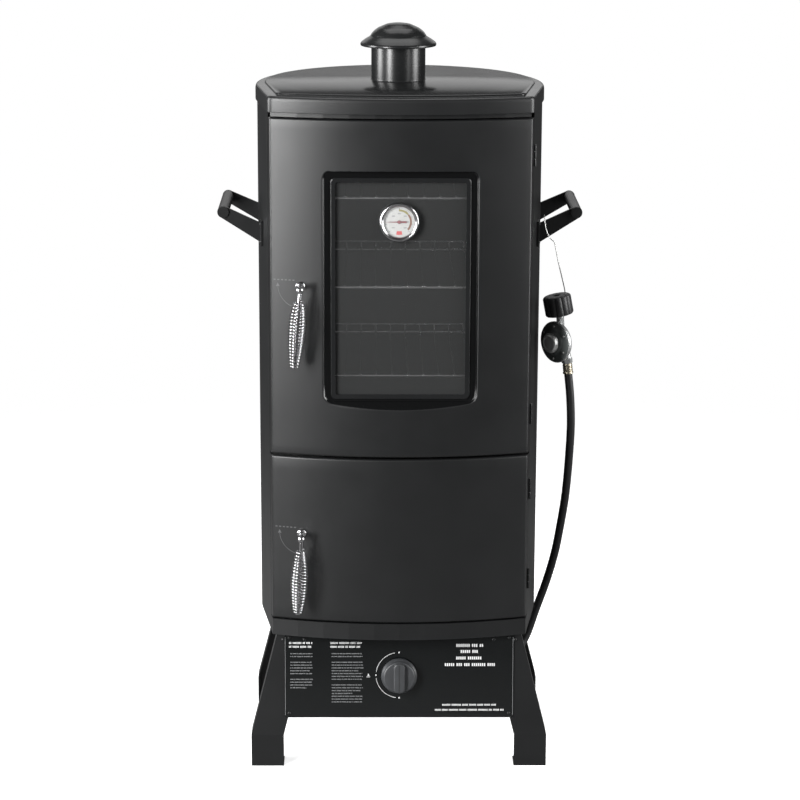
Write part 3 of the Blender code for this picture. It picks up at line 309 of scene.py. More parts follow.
sides, levels = ("left", "right"), ("upper", "lower")
wear = {
    "blackEnamel": ["front_frame", "glass_retainer", "water_pan", *(f"{side}_side_handle" for side in sides),
                    *(f"{end}_{side}_leg" for end in ("front", "rear") for side in sides)],
    "glossEnamel": ["control_panel"],
    "recessEnamel": ["window_bezel"],
    "brightSteel": ["grease_tray", *(f"{level}_door_liner" for level in levels),
                    *(f"{side}_rack_rail" for side in sides)],
    "gasketRope": [f"{level}_door_gasket" for level in levels],
    "windowGlass": ["window_glass"],
    "brightZinc": ["cap_stud", "thermometer_nut", "regulator_wire",
                   *(f"{level}_latch_cam" for level in levels),
                   *(f"{level}_{end}_hinge_pin" for level in levels for end in ("top", "bottom"))],
    "needleRed": ["thermometer_needle"],
    "castIron": ["chip_pan", "burner_tube", "burner_head"],
    "ceramic": ["igniter_electrode"],
    "brass": ["gas_valve", "valve_stem"],
}


def dressCad():
    for finish, nodes in wear.items():
        for node in nodes:
            for slot in bpy.data.objects[node].material_slots:
                slot.material = finishes[finish]


dressCad()
print("CAD pieces dressed")


# camera, light and floor

view = {"at": (-0.0539, -4.1713, 1.6746), "turn": -0.0129, "down": 0.2435, "roll": 0.0037, "lens": 117.15}
softboxes = [
    # name, place, aimed at, width, height, watts
    ("leftBox", (-2.30, -2.90, 1.60), (-0.10, 0.00, 0.75), 0.9, 2.6, 205.0),
    ("sideBox", (-3.30, -0.30, 1.50), (0.00, 0.10, 0.70), 1.2, 2.4, 150.0),
    ("rightBox", (3.20, -0.70, 1.50), (0.10, 0.10, 0.70), 1.2, 2.8, 125.0),
    ("rightFrontBox", (2.50, -2.70, 1.60), (0.10, 0.00, 0.70), 0.6, 2.4, 19.0),
    ("frontBox", (0.40, -5.20, 3.40), (0.00, 0.00, 0.70), 3.0, 1.6, 4.0),
    ("topBox", (0.00, 0.90, 4.00), (0.00, 0.10, 1.10), 2.6, 2.2, 34.0),
    ("backBox", (0.00, 4.00, 2.30), (0.00, 0.10, 1.10), 4.0, 1.8, 17.0),
]
floorLook = {"radius": 2.6, "solid": 0.9, "shade": (0.90, 0.90, 0.90), "glow": 0.64}
sky = {"seen": 1.0, "reflected": 0.05}


def disc(u, v, radius, steps=24):
    return [(u + radius * math.cos(math.tau * k / steps), v + radius * math.sin(math.tau * k / steps))
            for k in range(steps)]


def aim(thing, spot, target):
    thing.location = spot
    thing.rotation_euler = (Vector(target) - Vector(spot)).to_track_quat("-Z", "Y").to_euler()


def makeCamera():
    camera = bpy.data.objects.new("studioCamera", bpy.data.cameras.new("studioCamera"))
    bpy.context.collection.objects.link(camera)
    camera.data.lens, camera.data.sensor_width = view["lens"], 36.0
    turn = Matrix.Rotation(view["turn"], 4, "Z") @ Matrix.Rotation(math.pi / 2 - view["down"], 4, "X")
    roll = Matrix.Rotation(view["roll"], 4, "Z")
    camera.matrix_world = Matrix.Translation(place(*view["at"])) @ turn @ roll
    bpy.context.scene.camera = camera


def makeLights():
    for name, spot, target, wide, high, watts in softboxes:
        lamp = bpy.data.lights.new(name, "AREA")
        lamp.shape, lamp.size, lamp.size_y, lamp.energy = "RECTANGLE", wide, high, watts
        holder = bpy.data.objects.new(name, lamp)
        bpy.context.collection.objects.link(holder)
        holder.visible_camera = False
        aim(holder, spot, target)
    world = bpy.data.worlds.new("studio")
    world.use_nodes = True
    nodes, links = world.node_tree.nodes, world.node_tree.links
    background = nodes["Background"]
    background.inputs["Color"].default_value = (1.0, 1.0, 1.0, 1.0)
    rays = nodes.new("ShaderNodeLightPath")
    choose = nodes.new("ShaderNodeMix")
    choose.inputs[2].default_value, choose.inputs[3].default_value = sky["reflected"], sky["seen"]
    links.new(rays.outputs["Is Camera Ray"], choose.inputs[0])
    links.new(choose.outputs[0], background.inputs["Strength"])
    bpy.context.scene.world = world
    bpy.context.scene.view_settings.view_transform = "Standard"


def makeFloor():
    steps, r = 96, floorLook["radius"]
    mesh = bpy.data.meshes.new("studioFloor")
    mesh.from_pydata([(x, y, 0) for x, y in disc(0, 0, r, steps)], [], [tuple(range(steps))])
    f = Finish("floorPaper")
    away = f.node("ShaderNodeVectorMath", {"operation": "LENGTH"}, {0: f.where()})["Value"]
    fade = f.node("ShaderNodeMapRange", {"interpolation_type": "SMOOTHSTEP"},
                  {"Value": away, "From Min": floorLook["solid"], "From Max": r - 0.1, "To Min": 1.0,
                   "To Max": 0.0})
    seen = f.node("ShaderNodeLightPath")["Is Camera Ray"]  # white to the eye, and dim in reflections
    f.set(Base_Color=f.mix(seen, (0.16, 0.16, 0.16), floorLook["shade"]), Roughness=0.75,
          Alpha=fade["Result"], Emission_Color=f.mix(seen, (0.0, 0.0, 0.0), (1.0, 1.0, 1.0)),
          Emission_Strength=floorLook["glow"])
    mesh.materials.append(f.material)
    floor = bpy.data.objects.new("studioFloor", mesh)
    bpy.context.collection.objects.link(floor)


makeCamera()
makeLights()
makeFloor()
print("camera, light and floor made")


# ways to make a piece

def addMesh(name, points, faces, finish, body, slot, sharp=32.0, instead=None):
    mesh = bpy.data.meshes.new(name)
    mesh.from_pydata([tuple(p) for p in points], [], faces)
    mesh.validate()
    bm = bmesh.new()
    bm.from_mesh(mesh)
    bmesh.ops.remove_doubles(bm, verts=bm.verts, dist=1e-6)
    bmesh.ops.recalc_face_normals(bm, faces=bm.faces)
    bm.to_mesh(mesh)
    bm.free()
    mesh.shade_smooth()
    mesh.set_sharp_from_angle(angle=math.radians(sharp))
    mesh.materials.append(finishes[finish])
    piece = bpy.data.objects.new(name, mesh)
    bpy.context.collection.objects.link(piece)
    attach(piece, body)
    if instead:
        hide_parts(instead)
    return piece


def ringFaces(rows, count, closedRows=False, closedRound=True, start=0):
    faces = []
    for i in range(rows if closedRows else rows - 1):
        for k in range(count if closedRound else count - 1):
            a, b = start + i * count, start + ((i + 1) % rows) * count
            j = (k + 1) % count
            faces.append((a + k, a + j, b + j, b + k))
    return faces


def joined(*meshes):
    # several (points, faces) as one
    points, faces = [], []
    for some, theirs in meshes:
        faces += [tuple(len(points) + v for v in face) for face in theirs]
        points += some
    return points, faces


def turnedMesh(profile, at, toward, steps=96, hollow=False):
    # (radius, height) points turned about a direction
    turnTo = Vector(upward).rotation_difference(Vector(toward)).to_matrix()
    points = []
    for radius, height in profile:
        radius = max(radius, 1e-7)
        points += [at + turnTo @ Vector((radius * math.cos(math.tau * k / steps),
                                         radius * math.sin(math.tau * k / steps), height))
                   for k in range(steps)]
    return points, ringFaces(len(profile), steps, closedRows=hollow)


def turned(name, profile, at, toward, finish, body, slot, steps=96, hollow=False, sharp=32.0, instead=None):
    return addMesh(name, *turnedMesh(profile, at, toward, steps, hollow), finish, body, slot, sharp, instead)


def rounded(profile, radius, steps=4):
    # the profile with each inner corner as a small curve
    line = [profile[0]]
    for before, corner, after in zip(profile, profile[1:], profile[2:]):
        a, b, c = Vector(before), Vector(corner), Vector(after)
        reach = min(radius, (a - b).length * 0.45, (c - b).length * 0.45)
        p, q = b + (a - b).normalized() * reach, b + (c - b).normalized() * reach
        for k in range(steps + 1):
            t = k / steps
            line.append(tuple((1 - t) ** 2 * p + 2 * t * (1 - t) * b + t ** 2 * q))
    return line + [profile[-1]]


def tubeMesh(lines, radius, sides, loop=False):
    points, faces = [], []
    for line in lines:
        line = [Vector(p) for p in line]
        start = len(points)
        across = (line[1] - line[0]).orthogonal().normalized()
        for i, spot in enumerate(line):
            before = line[i - 1 if loop else max(i - 1, 0)]
            after = line[(i + 1) % len(line) if loop else min(i + 1, len(line) - 1)]
            along = (after - before).normalized()
            across = (across - along * across.dot(along)).normalized()
            up = along.cross(across)
            wide = radius(i / (len(line) - 1)) if callable(radius) else radius
            points += [spot + wide * (math.cos(math.tau * k / sides) * across
                                      + math.sin(math.tau * k / sides) * up) for k in range(sides)]
        faces += ringFaces(len(line), sides, closedRows=loop, start=start)
        if not loop:
            faces.append(tuple(start + k for k in range(sides)))
            faces.append(tuple(start + (len(line) - 1) * sides + k for k in range(sides)))
    return points, faces


def bar(name, lines, radius, finish, body, slot, sides=12, loop=False, instead=None):
    return addMesh(name, *tubeMesh(lines, radius, sides, loop), finish, body, slot, 50.0, instead)


def slabMesh(outlines, low, high, where):
    # flat shapes given as (u, v) outlines, from one height to another
    points, faces = [], []
    for outline in outlines:
        start, n = len(points), len(outline)
        points += [where(u, v, low) for u, v in outline] + [where(u, v, high) for u, v in outline]
        faces += ringFaces(2, n, start=start)
        faces += [tuple(start + k for k in range(n)), tuple(start + n + k for k in range(n))]
    return points, faces


def slab(name, outlines, low, high, where, finish, body, slot, sharp=32.0):
    return addMesh(name, *slabMesh(outlines, low, high, where), finish, body, slot, sharp)


def loftMesh(sections, capped=True):
    # a skin through outlines that have the same number of points
    n = len(sections[0])
    points = [p for section in sections for p in section]
    faces = ringFaces(len(sections), n)
    if capped:
        faces += [tuple(range(n)), tuple((len(sections) - 1) * n + k for k in range(n))]
    return points, faces


def roundBox(x0, x1, z0, z1, radius, steps=8):
    corners = [(x1 - radius, z1 - radius, 0), (x0 + radius, z1 - radius, 90),
               (x0 + radius, z0 + radius, 180), (x1 - radius, z0 + radius, 270)]
    turns = [(x, z, math.radians(a + 90 * k / steps)) for x, z, a in corners for k in range(steps + 1)]
    return [(x + radius * math.cos(t), z + radius * math.sin(t)) for x, z, t in turns]


def box(x0, x1, z0, z1):
    return [(x0, z0), (x1, z0), (x1, z1), (x0, z1)]


def arcStrip(u, v, inner, outer, first, last, steps=24):
    turns = [math.radians(first + (last - first) * k / steps) for k in range(steps + 1)]
    return ([(u + outer * math.cos(t), v + outer * math.sin(t)) for t in turns]
            + [(u + inner * math.cos(t), v + inner * math.sin(t)) for t in reversed(turns)])


def smoothLine(route, spacing):
    route = [Vector(p) for p in route]
    ends = [2 * route[0] - route[1], *route, 2 * route[-1] - route[-2]]
    line = []
    for a, b, c, d in zip(ends, ends[1:], ends[2:], ends[3:]):
        steps = max(1, round((c - b).length / spacing))
        for k in range(steps):
            t = k / steps
            line.append(0.5 * (2 * b + (c - a) * t + (2 * a - 5 * b + 4 * c - d) * t ** 2
                               + (3 * b - a - 3 * c + d) * t ** 3))
    return line + [route[-1]]


def panHeads(name, spots, radius, finish, body, slot):
    # round-headed screws; each spot is a point and the way its head faces
    r = radius
    head = [(0, 0.30 * r), (0.38 * r, 0.30 * r), (0.42 * r, 0.66 * r), (0.70 * r, 0.58 * r),
            (0.90 * r, 0.40 * r), (r, 0.15 * r), (r, -0.0003)]
    return addMesh(name, *joined(*[turnedMesh(head, at, toward, 24) for at, toward in spots]), finish, body,
                   slot, 40.0)


# the plan's outline

def sideAndBack(out, front):
    # the right side's front end and the round back, moved out
    r, centre = plan["backRadius"] + out, Vector((0, plan["backCentre"]))
    side = Vector((math.sin(flare), math.cos(flare)))
    meet = centre + r * Vector((math.cos(flare), -math.sin(flare)))
    turns = [-flare + (math.pi + 2 * flare) * k / 88 for k in range(89)]
    back = [centre + r * Vector((math.cos(t), math.sin(t))) for t in turns]
    return meet + side * (front - meet.y) / math.cos(flare), back


def planLine(out, inset, corner=0.010):
    # the lid's closed plan, moved out, with rounded front corners
    start, back = sideAndBack(out, inset + bowAt(plan["half"] + out))
    bowed = [Vector((x, bowAt(x) + inset)) for x in [start.x * (2 * k / 48 - 1) for k in range(49)]]
    line = []
    for end, before, after in ((bowed[0], back[-1], bowed[4]), (start, bowed[-5], back[0])):
        p, q = end + (before - end).normalized() * corner, end + (after - end).normalized() * corner
        arc = [(1 - t) ** 2 * p + 2 * t * (1 - t) * end + t ** 2 * q for t in (k / 8 for k in range(9))]
        inside = [b for b in bowed if abs(b.x) < start.x - corner * 1.02] if end is bowed[0] else back
        line += arc + inside
    return [(p.x, p.y) for p in line]


# doors

doors = {
    "upper": {"span": (0.5475, 1.1055), "latch": 0.8326},
    "lower": {"span": (0.2610, 0.5440), "latch": 0.4130},
    "edge": 0.0034, "deep": 0.0180, "sheet": 0.0012,
}
hinge = {"at": (0.2175, 0.0192), "inset": 0.045, "radius": 0.0027, "pin": 0.0014, "long": 0.0120,
         "gap": 0.0004}
recess = {"half": 0.1240, "span": (0.6416, 1.0215), "floor": -0.0180, "corner": 0.013, "soft": 0.0016,
          "sight": (0.1092, 0.6490, 1.0070)}


def recessDepth(x, z):  # the pressed window recess, before it is blended with the door's face
    low, high = recess["span"]
    corner = recess["corner"]
    dx, down, up = abs(x) - recess["half"], low - z, z - high
    if dx > -corner and down > -corner:
        out = math.hypot(dx + corner, down + corner) - corner
    elif dx > -corner and up > -corner:
        reach = math.hypot(dx + corner, up + corner)
        out = (reach - corner) / (1 - 0.88 * ((up + corner) / reach) ** 6)
    else:
        out = max(dx, down, up / 0.12)
    return recess["floor"] - max(out, 0.0)


def softMax(a, b, soft):
    mixed = max(soft - abs(a - b), 0.0) / soft
    return max(a, b) + mixed ** 3 * soft / 6


def doorFace(x, z, span, pressed):
    half, edge = plan["half"], doors["edge"]
    dx, dz = max(abs(x) - half + edge, 0), max(span[0] + edge - z, z - span[1] + edge, 0)
    fall = edge - math.sqrt(max(edge ** 2 - dx ** 2 - dz ** 2, 0))
    face = bowAt(x) + fall
    if not pressed:
        return face
    return softMax(face, recessDepth(x, z), recess["soft"]) if abs(x) < 0.15 else face


def spread(stops):
    # values between stops, each stop with its own number of steps to the next
    values = []
    for (a, steps), (b, _) in zip(stops, stops[1:]):
        values += [a + (b - a) * k / steps for k in range(steps)]
    return values + [stops[-1][0]]


def knuckleMeshes(which, parts):
    # each of a door's two hinges has three knuckles: the middle one is the door's, the others are the shell's
    (low, high), long, gap = doors[which]["span"], hinge["long"], hinge["gap"]
    pin, r = hinge["pin"], hinge["radius"]
    profile = rounded([(pin, gap), (r, gap), (r, long - gap), (pin, long - gap)], gap)
    return [turnedMesh(profile, place(*hinge["at"], z + part * long), upward, 32, True)
            for z in (low + hinge["inset"], high - hinge["inset"] - 3 * long) for part in parts]


def makeDoor(which):
    span, edge, half = doors[which]["span"], doors["edge"], plan["half"]
    pressed = which == "upper"
    rim = [edge * (1 - math.cos(math.pi / 2 * k / 6)) for k in range(6)]
    stops = [(0.0, 24)]
    if pressed:
        stops = [(0.0, 8), (0.100, 3), (0.1092, 3), (0.1160, 22), (0.1300, 4), (0.145, 6)]
    right = spread([*stops, (half - edge, 1)])
    xs = sorted({round(s * x, 6) for x in right + [half - r for r in rim] for s in (-1, 1)})
    low, high = span
    zs = [low + r for r in rim] + [high - r for r in rim]
    if pressed:
        zs += spread([(low + edge, 6), (0.6250, 42), (0.6440, 6), (0.6490, 20), (1.0070, 6), (1.0120, 26),
                      (1.0250, 6), (high - edge, 1)])
    else:
        zs += spread([(low + edge, 14), (high - edge, 1)])
    zs = sorted({round(z, 6) for z in zs})
    points = [place(x, doorFace(x, z, span, pressed), z) for z in zs for x in xs]
    wide, tall = len(xs), len(zs)
    faces = []
    sx, s0, s1 = recess["sight"]
    for j in range(tall - 1):
        for i in range(wide - 1):
            x, z = (xs[i] + xs[i + 1]) / 2, (zs[j] + zs[j + 1]) / 2
            if not (pressed and abs(x) < sx and s0 < z < s1):
                a = j * wide + i
                faces.append((a, a + 1, a + 1 + wide, a + wide))
    loop = ([*range(wide)] + [j * wide + wide - 1 for j in range(1, tall)]
            + [(tall - 1) * wide + i for i in range(wide - 2, -1, -1)]
            + [j * wide for j in range(tall - 2, 0, -1)])
    start = len(points)
    for v in loop:
        p = points[v]
        wider = 1 + math.tan(flare) * doors["deep"] / half
        points.append(Vector((p.x * wider, bowAt(min(abs(p.x), half)) + doors["deep"] - middleY, p.z)))
    for k, v in enumerate(loop):
        n = (k + 1) % len(loop)
        faces.append((v, loop[n], start + n, start + k))
    skin = addMesh(f"{which}DoorSkin", points, faces, "doorEnamel", f"{which}_door", "black_enamel", 40.0,
                   f"{which}_door_skin")
    thick = skin.modifiers.new("sheet", "SOLIDIFY")
    thick.thickness, thick.offset = doors["sheet"], -1.0
    addMesh(f"{which}DoorKnuckles", *joined(*knuckleMeshes(which, (1,))), "blackEnamel", f"{which}_door",
            "black_enamel")


for which in levels:
    makeDoor(which)
print("doors made")


# shell

shell = {"low": 0.2310, "high": 1.1345, "sheet": 0.0015, "seam": 0.0205, "lips": (0.195, 0.345),
         "bracket": [(0.1285, 0.2165), (0.1285, 0.2318), (0.1270, 0.2318), (0.1270, 0.2180), (0.1180, 0.2180),
                     (0.1180, 0.2165)]}


def wallLine(out):
    # the shell's side, back and other side, from its front edges
    start, back = sideAndBack(out, shell["seam"])
    return [(p.x, p.y) for p in [start, *back]] + [(-start.x, start.y)]


def alongDepth(u, v, h):
    return place(u, h, v)


def makeShell():
    low, high, thin = shell["low"], shell["high"], shell["sheet"]
    outer, inner = wallLine(0.0), wallLine(-thin)
    rings = ((outer, low), (outer, high), (inner, high), (inner, low))
    points = [place(x, y, z) for line, z in rings for x, y in line]
    n = len(outer)
    walls = ringFaces(4, n, closedRows=True, closedRound=False)
    walls += [tuple(k * n for k in range(4)), tuple(k * n + n - 1 for k in range(4))]
    edge = outer[0][0]
    front = [(x, bowAt(x) + shell["seam"]) for x in [edge * (2 * k / 40 - 1) for k in range(1, 40)]]
    floor = slabMesh([front + outer], low, low + thin, place)
    lips = [slabMesh([[(s * u, v) for u, v in shell["bracket"]]], *shell["lips"], alongDepth)
            for s in (-1, 1)]
    knuckles = knuckleMeshes("upper", (0, 2)) + knuckleMeshes("lower", (0, 2))
    addMesh("cabinetShell", *joined((points, walls), floor, *lips, *knuckles), "blackEnamel", "cabinet",
            "black_enamel", 40.0, "cabinet_shell")
    turned("drainCollar", rounded([(0.0068, 0), (0.0098, 0), (0.0098, 0.0012), (0.0068, 0.0012)], 0.0004),
           place(0, 0.30, low + thin), upward, "brightZinc", "cabinet", "black_enamel", 48, True)
    # a black disc over the drain, because the floor has no hole: painted shade where the opening is
    slab("drainHole", [disc(0, 0.30, 0.0068, 32)], low + thin, low + thin + 0.0002, place, "printBlack",
         "cabinet", "black_enamel")


makeShell()
print("shell made")


# lid, chimney and cap

lid = {"low": 1.1145, "high": 1.1405, "rise": 0.0040, "proud": 0.0028, "sheet": 0.0015}
chimney = {"at": (-0.0025, 0.1925), "radius": 0.0453, "top": 1.2080, "sheet": 0.0015, "capTop": 1.2389}


def makeLid():
    low, high, proud = lid["low"], lid["high"], lid["proud"]
    thin, raised = lid["sheet"], lid["high"] + lid["rise"]
    inside = [(proud - thin - 0.004, high - thin), (proud - thin, high - 0.005), (proud - thin, low + 0.0004)]
    rim = [(proud - thin, low + 0.0003), (proud - 0.0002, low), (proud, low + 0.0006), (proud, high - 0.0060),
           (proud - 0.0013, high - 0.0018), (proud - 0.0050, high), (-0.0118, high), (-0.0134, high + 0.0006),
           (-0.0142, raised - 0.0010), (-0.0162, raised)]
    outline = rounded(inside + rim[1:], 0.0018, 3)
    sections = [[place(x, y, z) for x, y in planLine(out, -out)] for out, z in outline]
    points, faces = loftMesh(sections, False)
    n = len(sections[0])
    faces.append(tuple(len(points) - n + k for k in range(n)))
    addMesh("roofLid", points, faces, "lidEnamel", "cabinet", "black_enamel", 40.0, "roof_lid")


def makeChimney():
    x, y = chimney["at"]
    at, r, top, thin = place(x, y, 0), chimney["radius"], chimney["top"], chimney["sheet"]
    foot = lid["high"] + lid["rise"]
    collar = [(r - thin, foot - 0.010), (r - thin, top - 0.0010), (r - thin / 2, top), (r, top - 0.0010),
              (r, foot + 0.0022), (r + 0.0004, foot + 0.0010), (r + 0.0012, foot + 0.0002),
              (r + 0.0012, foot - 0.010)]
    pipe = turnedMesh(rounded(collar, 0.0005), at, upward, 128, True)
    cross = slabMesh([box(x - r + 0.001, x + r - 0.001, y - 0.007, y + 0.007)], 1.150, 1.153, place)
    addMesh("chimneyPipe", *joined(pipe, cross), "pipeEnamel", "cabinet", "black_enamel", 40.0,
            "chimney_pipe")
    outside = [(0.0617, 1.2012), (0.0630, 1.2012), (0.0637, 1.2040), (0.0625, 1.2066), (0.0560, 1.2115),
               (0.0500, 1.2150), (0.0468, 1.2172), (0.0457, 1.2196), (0.0415, 1.2250), (0.0347, 1.2303),
               (0.0194, 1.2370), (0.0080, 1.2387), (0, chimney["capTop"])]
    under = [(max(a - 0.0013, 0), b - 0.0013) for a, b in outside[2:]]
    turned("chimneyCap", rounded(under[::-1] + outside, 0.0030, 5), at, upward, "pipeEnamel", "chimney_cap",
           "black_enamel", 128, False, 50.0, "chimney_cap")


makeLid()
makeChimney()
print("lid and chimney made")


# latches

latch = {"x": -0.1632, "out": 0.0350, "bend": 0.0065, "lean": {"upper": -0.0095, "lower": -0.0060},
         "long": 0.1300, "rod": 0.0035, "turns": 21, "wire": 0.00115, "coil": 0.1080,
         "thickest": {"upper": 0.40, "lower": 0.52}}


def makeLatch(which):
    x, z = latch["x"], doors[which]["latch"]
    face, bend, lean, body = bowAt(x), latch["bend"], latch["lean"][which], f"{which}_latch"
    out = face - latch["out"]
    corner = [place(x, out + bend - bend * math.sin(a), z - bend + bend * math.cos(a))
              for a in [math.pi / 2 * k / 10 for k in range(11)]]
    foot = place(x + lean, out, z - latch["long"])
    rod = tubeMesh([[place(x, 0.0190, z), *corner, foot]], latch["rod"], 24)
    ball = turnedMesh([(0.0064 * math.sin(a), -0.0064 * math.cos(a))
                       for a in [math.pi * k / 16 for k in range(17)]], place(x, out, z), upward, 32)
    collar = turnedMesh(rounded([(0, 0), (0.0078, 0), (0.0078, 0.0030), (0.0050, 0.0050), (0, 0.0050)],
                                0.0008), place(x, face - 0.0006, z), forward, 40)
    tip = turnedMesh([(0.0035, 0), (0.0048, 0.0004), (0.0048, 0.0016), (0.0030, 0.0022), (0, 0.0022)],
                     foot + Vector((0, 0, 0.0020)), (0, 0, -1), 24)
    addMesh(f"{which}LatchRod", *joined(rod, ball, collar, tip), "springChrome", body, "chrome", 40.0,
            f"{which}_latch_rod")
    steps, coil = 28, []
    for i in range(latch["turns"] * steps + 1):
        s = i / (latch["turns"] * steps)
        swell = math.sin(math.pi * s ** (math.log(0.5) / math.log(latch["thickest"][which]))) ** 0.8
        radius, down, a = 0.0066 + 0.0074 * swell, z - 0.0190 - s * latch["coil"], math.tau * i / steps
        middle = x + lean * (z - down) / latch["long"]
        coil.append(place(middle + radius * math.cos(a), out + radius * math.sin(a), down))
    bar(f"{which}LatchSpring", [coil], latch["wire"], "springChrome", body, "chrome", 10, False,
        f"{which}_latch_grip")


def makeTurnMark(which):
    # a faint arc that shows which way the handle turns
    x, z = latch["x"], doors[which]["latch"]
    arrow = [(x - 0.0400, z - 0.0020), (x - 0.0340, z - 0.0020), (x - 0.0370, z + 0.0040)]
    dashes = [box(x - 0.044 + 0.0062 * k, x - 0.0405 + 0.0062 * k, z + 0.0082, z + 0.0100) for k in range(6)]
    slab(f"{which}TurnMark", [arcStrip(x, z, 0.0366, 0.0374, 184, 256), arrow, *dashes], 0.0001, 0.0003,
         lambda u, v, h: onFace(u, v, h), "printFaint", f"{which}_door", "black_enamel")


for which in levels:
    makeLatch(which)
    makeTurnMark(which)
print("latches made")


# racks

rack = {"heights": {"upper": 0.9730, "middle": 0.8245, "lower": 0.6745}, "front": 0.0330, "back": 0.3700,
        "turn": 0.2150, "half": 0.2030, "halfBack": 0.1180, "lip": 0.0120, "pitch": 0.0260,
        "wire": 0.0015, "frame": 0.0025, "sink": 0.0011}


def makeRack(which):
    z, half, halfBack = rack["heights"][which], rack["half"], rack["halfBack"]
    front, turn, back = rack["front"], rack["turn"], rack["back"]
    low = z - rack["frame"] - rack["wire"] + rack["sink"]
    corners = [(-half, front), (-half, turn), (-halfBack, back), (halfBack, back), (half, turn),
               (half, front)]
    line = []
    for i, corner in enumerate(corners):
        b = Vector(corner)
        a, c = Vector(corners[i - 1]), Vector(corners[(i + 1) % len(corners)])
        p, q = b + (a - b).normalized() * 0.010, b + (c - b).normalized() * 0.010
        line += [place(*((1 - t) ** 2 * p + 2 * t * (1 - t) * b + t ** 2 * q), low)
                 for t in (k / 6 for k in range(7))]
    wires = []
    for k in range(16):
        x = rack["pitch"] * (k - 7.5)
        over = max(0.0, abs(x) - halfBack) / (half - halfBack)
        end = back - (back - turn) * over + 0.0017
        wire = [place(x, front - 0.0035, z), place(x, front, z), place(x, end - 0.003, z)]
        if over:
            wires.append(wire + [place(x, end, z)])
        else:
            wires.append(wire + [place(x, end + 0.0002, z + 0.0006), place(x, end + 0.0010, z + 0.0030),
                                 place(x, end + 0.0010, z + rack["lip"])])
    lip = [place(x, back + 0.0029, z + rack["lip"] - 0.0008) for x in (-halfBack, halfBack)]
    frameMesh = tubeMesh([line], rack["frame"], 16, True)
    addMesh(f"{which}Rack", *joined(frameMesh, tubeMesh(wires, rack["wire"], 10),
                                    tubeMesh([lip], 0.0018, 12)), "rackWire", f"{which}_rack", "chrome_wire",
            50.0, f"{which}_rack")


for which in rack["heights"]:
    makeRack(which)
print("racks made")


# thermometer

gauge = {"x": -0.0026, "z": 0.9398, "seat": -0.0165, "face": 0.0046, "radius": 0.0250, "rim": 0.0325}


def onGauge(u, v, h):
    return place(gauge["x"] + u, gauge["seat"] - h, gauge["z"] + v)


def makeGauge():
    body, r, rim = "upper_door", gauge["radius"], gauge["rim"]
    case = [(0, 0), (0.0120, 0), (0.0120, 0.0015), (rim - 0.0050, 0.0015), (rim - 0.0012, 0.0032),
            (rim, 0.0062), (rim - 0.0004, 0.0098), (rim - 0.0022, 0.0118), (rim - 0.0040, 0.0120),
            (r + 0.0012, 0.0100), (r + 0.0002, 0.0088), (r, 0.0080), (r, 0.0034), (0, 0.0034)]
    stem = turnedMesh(rounded([(0, -0.055), (0.0040, -0.055), (0.0040, 0.001), (0, 0.001)], 0.001),
                      onGauge(0, 0, 0), forward, 32)
    shell = turnedMesh(rounded(case, 0.0012, 5), onGauge(0, 0, 0), forward, 128)
    addMesh("thermometerCase", *joined(shell, stem), "caseChrome", body, "chrome", 40.0, "thermometer_case")
    face = gauge["face"]
    turned("thermometerFace", [(0, 0.0036), (r - 0.0002, 0.0036), (r - 0.0002, face), (0.0012, face)],
           onGauge(0, 0, 0), forward, "dialWhite", body, "dial_white", 96, False, 32.0, "thermometer_dial")
    low, high = face - 0.0001, face + 0.00012
    ticks = []
    for k in range(41):
        a = math.radians(225 - 270 * k / 40)
        long, wide = (0.0030, 0.00035) if k % 5 == 0 else (0.0016, 0.0002)
        c, s = math.cos(a), math.sin(a)
        corners = [(0.0234 - long, -wide), (0.0234, -wide), (0.0234, wide), (0.0234 - long, wide)]
        ticks.append([(p * c - q * s, p * s + q * c) for p, q in corners])
    slab("dialTicks", ticks, low, high, onGauge, "printBlack", body, "dial_white")
    for name, strip, ink in (("dialOliveBand", (0.0172, 0.0206, 92, 42), "printOlive"),
                             ("dialBrownBand", (0.0172, 0.0206, 40, -42), "printBrown"),
                             ("dialRedMark", (0.0152, 0.0212, -76, -104), "printRed")):
        slab(name, [arcStrip(0, 0, *strip)], low, high, onGauge, ink, body, "dial_white")
    marks = [box(u - 0.0006, u + 0.0006, v - 0.0010, v + 0.0010) for u, v in
             [(0.0135 * math.cos(math.radians(a)) + d, 0.0135 * math.sin(math.radians(a)))
              for a in range(225, -46, -45) for d in (-0.0017, 0.0, 0.0017)]]
    slab("dialFigures", marks, low, high, onGauge, "printGrey", body, "dial_white")
    dome = [((r - 0.0002) * k / 12, 0.0098 - 0.0012 * (k / 12) ** 2) for k in range(13)]
    turned("thermometerGlass", dome + [(r - 0.0002, 0.0078), (0, 0.0078)], onGauge(0, 0, 0), forward,
           "dialGlass", body, "clear_glass", 96, False, 40.0, "thermometer_lens")
    turned("needleHub", rounded([(0.0030, 0.0062), (0.0030, 0.0074), (0, 0.0076)], 0.0008), onGauge(0, 0, 0),
           forward, "needleRed", "needle", "needle_red", 32)


makeGauge()
print("thermometer made")


# control panel, its print and the knob

panel = {"middle": (-0.0060, 0.15785), "tilt": math.atan2(0.0160, 0.1423), "knobUp": 0.0018}
knob = {"outer": 0.0305, "neck": 0.0268, "grip": (0.0092, 0.0250), "front": 0.0290}


def onPanel(x, v, out):
    y, z = panel["middle"]
    c, s = math.cos(panel["tilt"]), math.sin(panel["tilt"])
    return place(x, y - out * c + v * s, z + out * s + v * c)


def onKnob(x, v, out):
    return onPanel(x, v + panel["knobUp"], out)


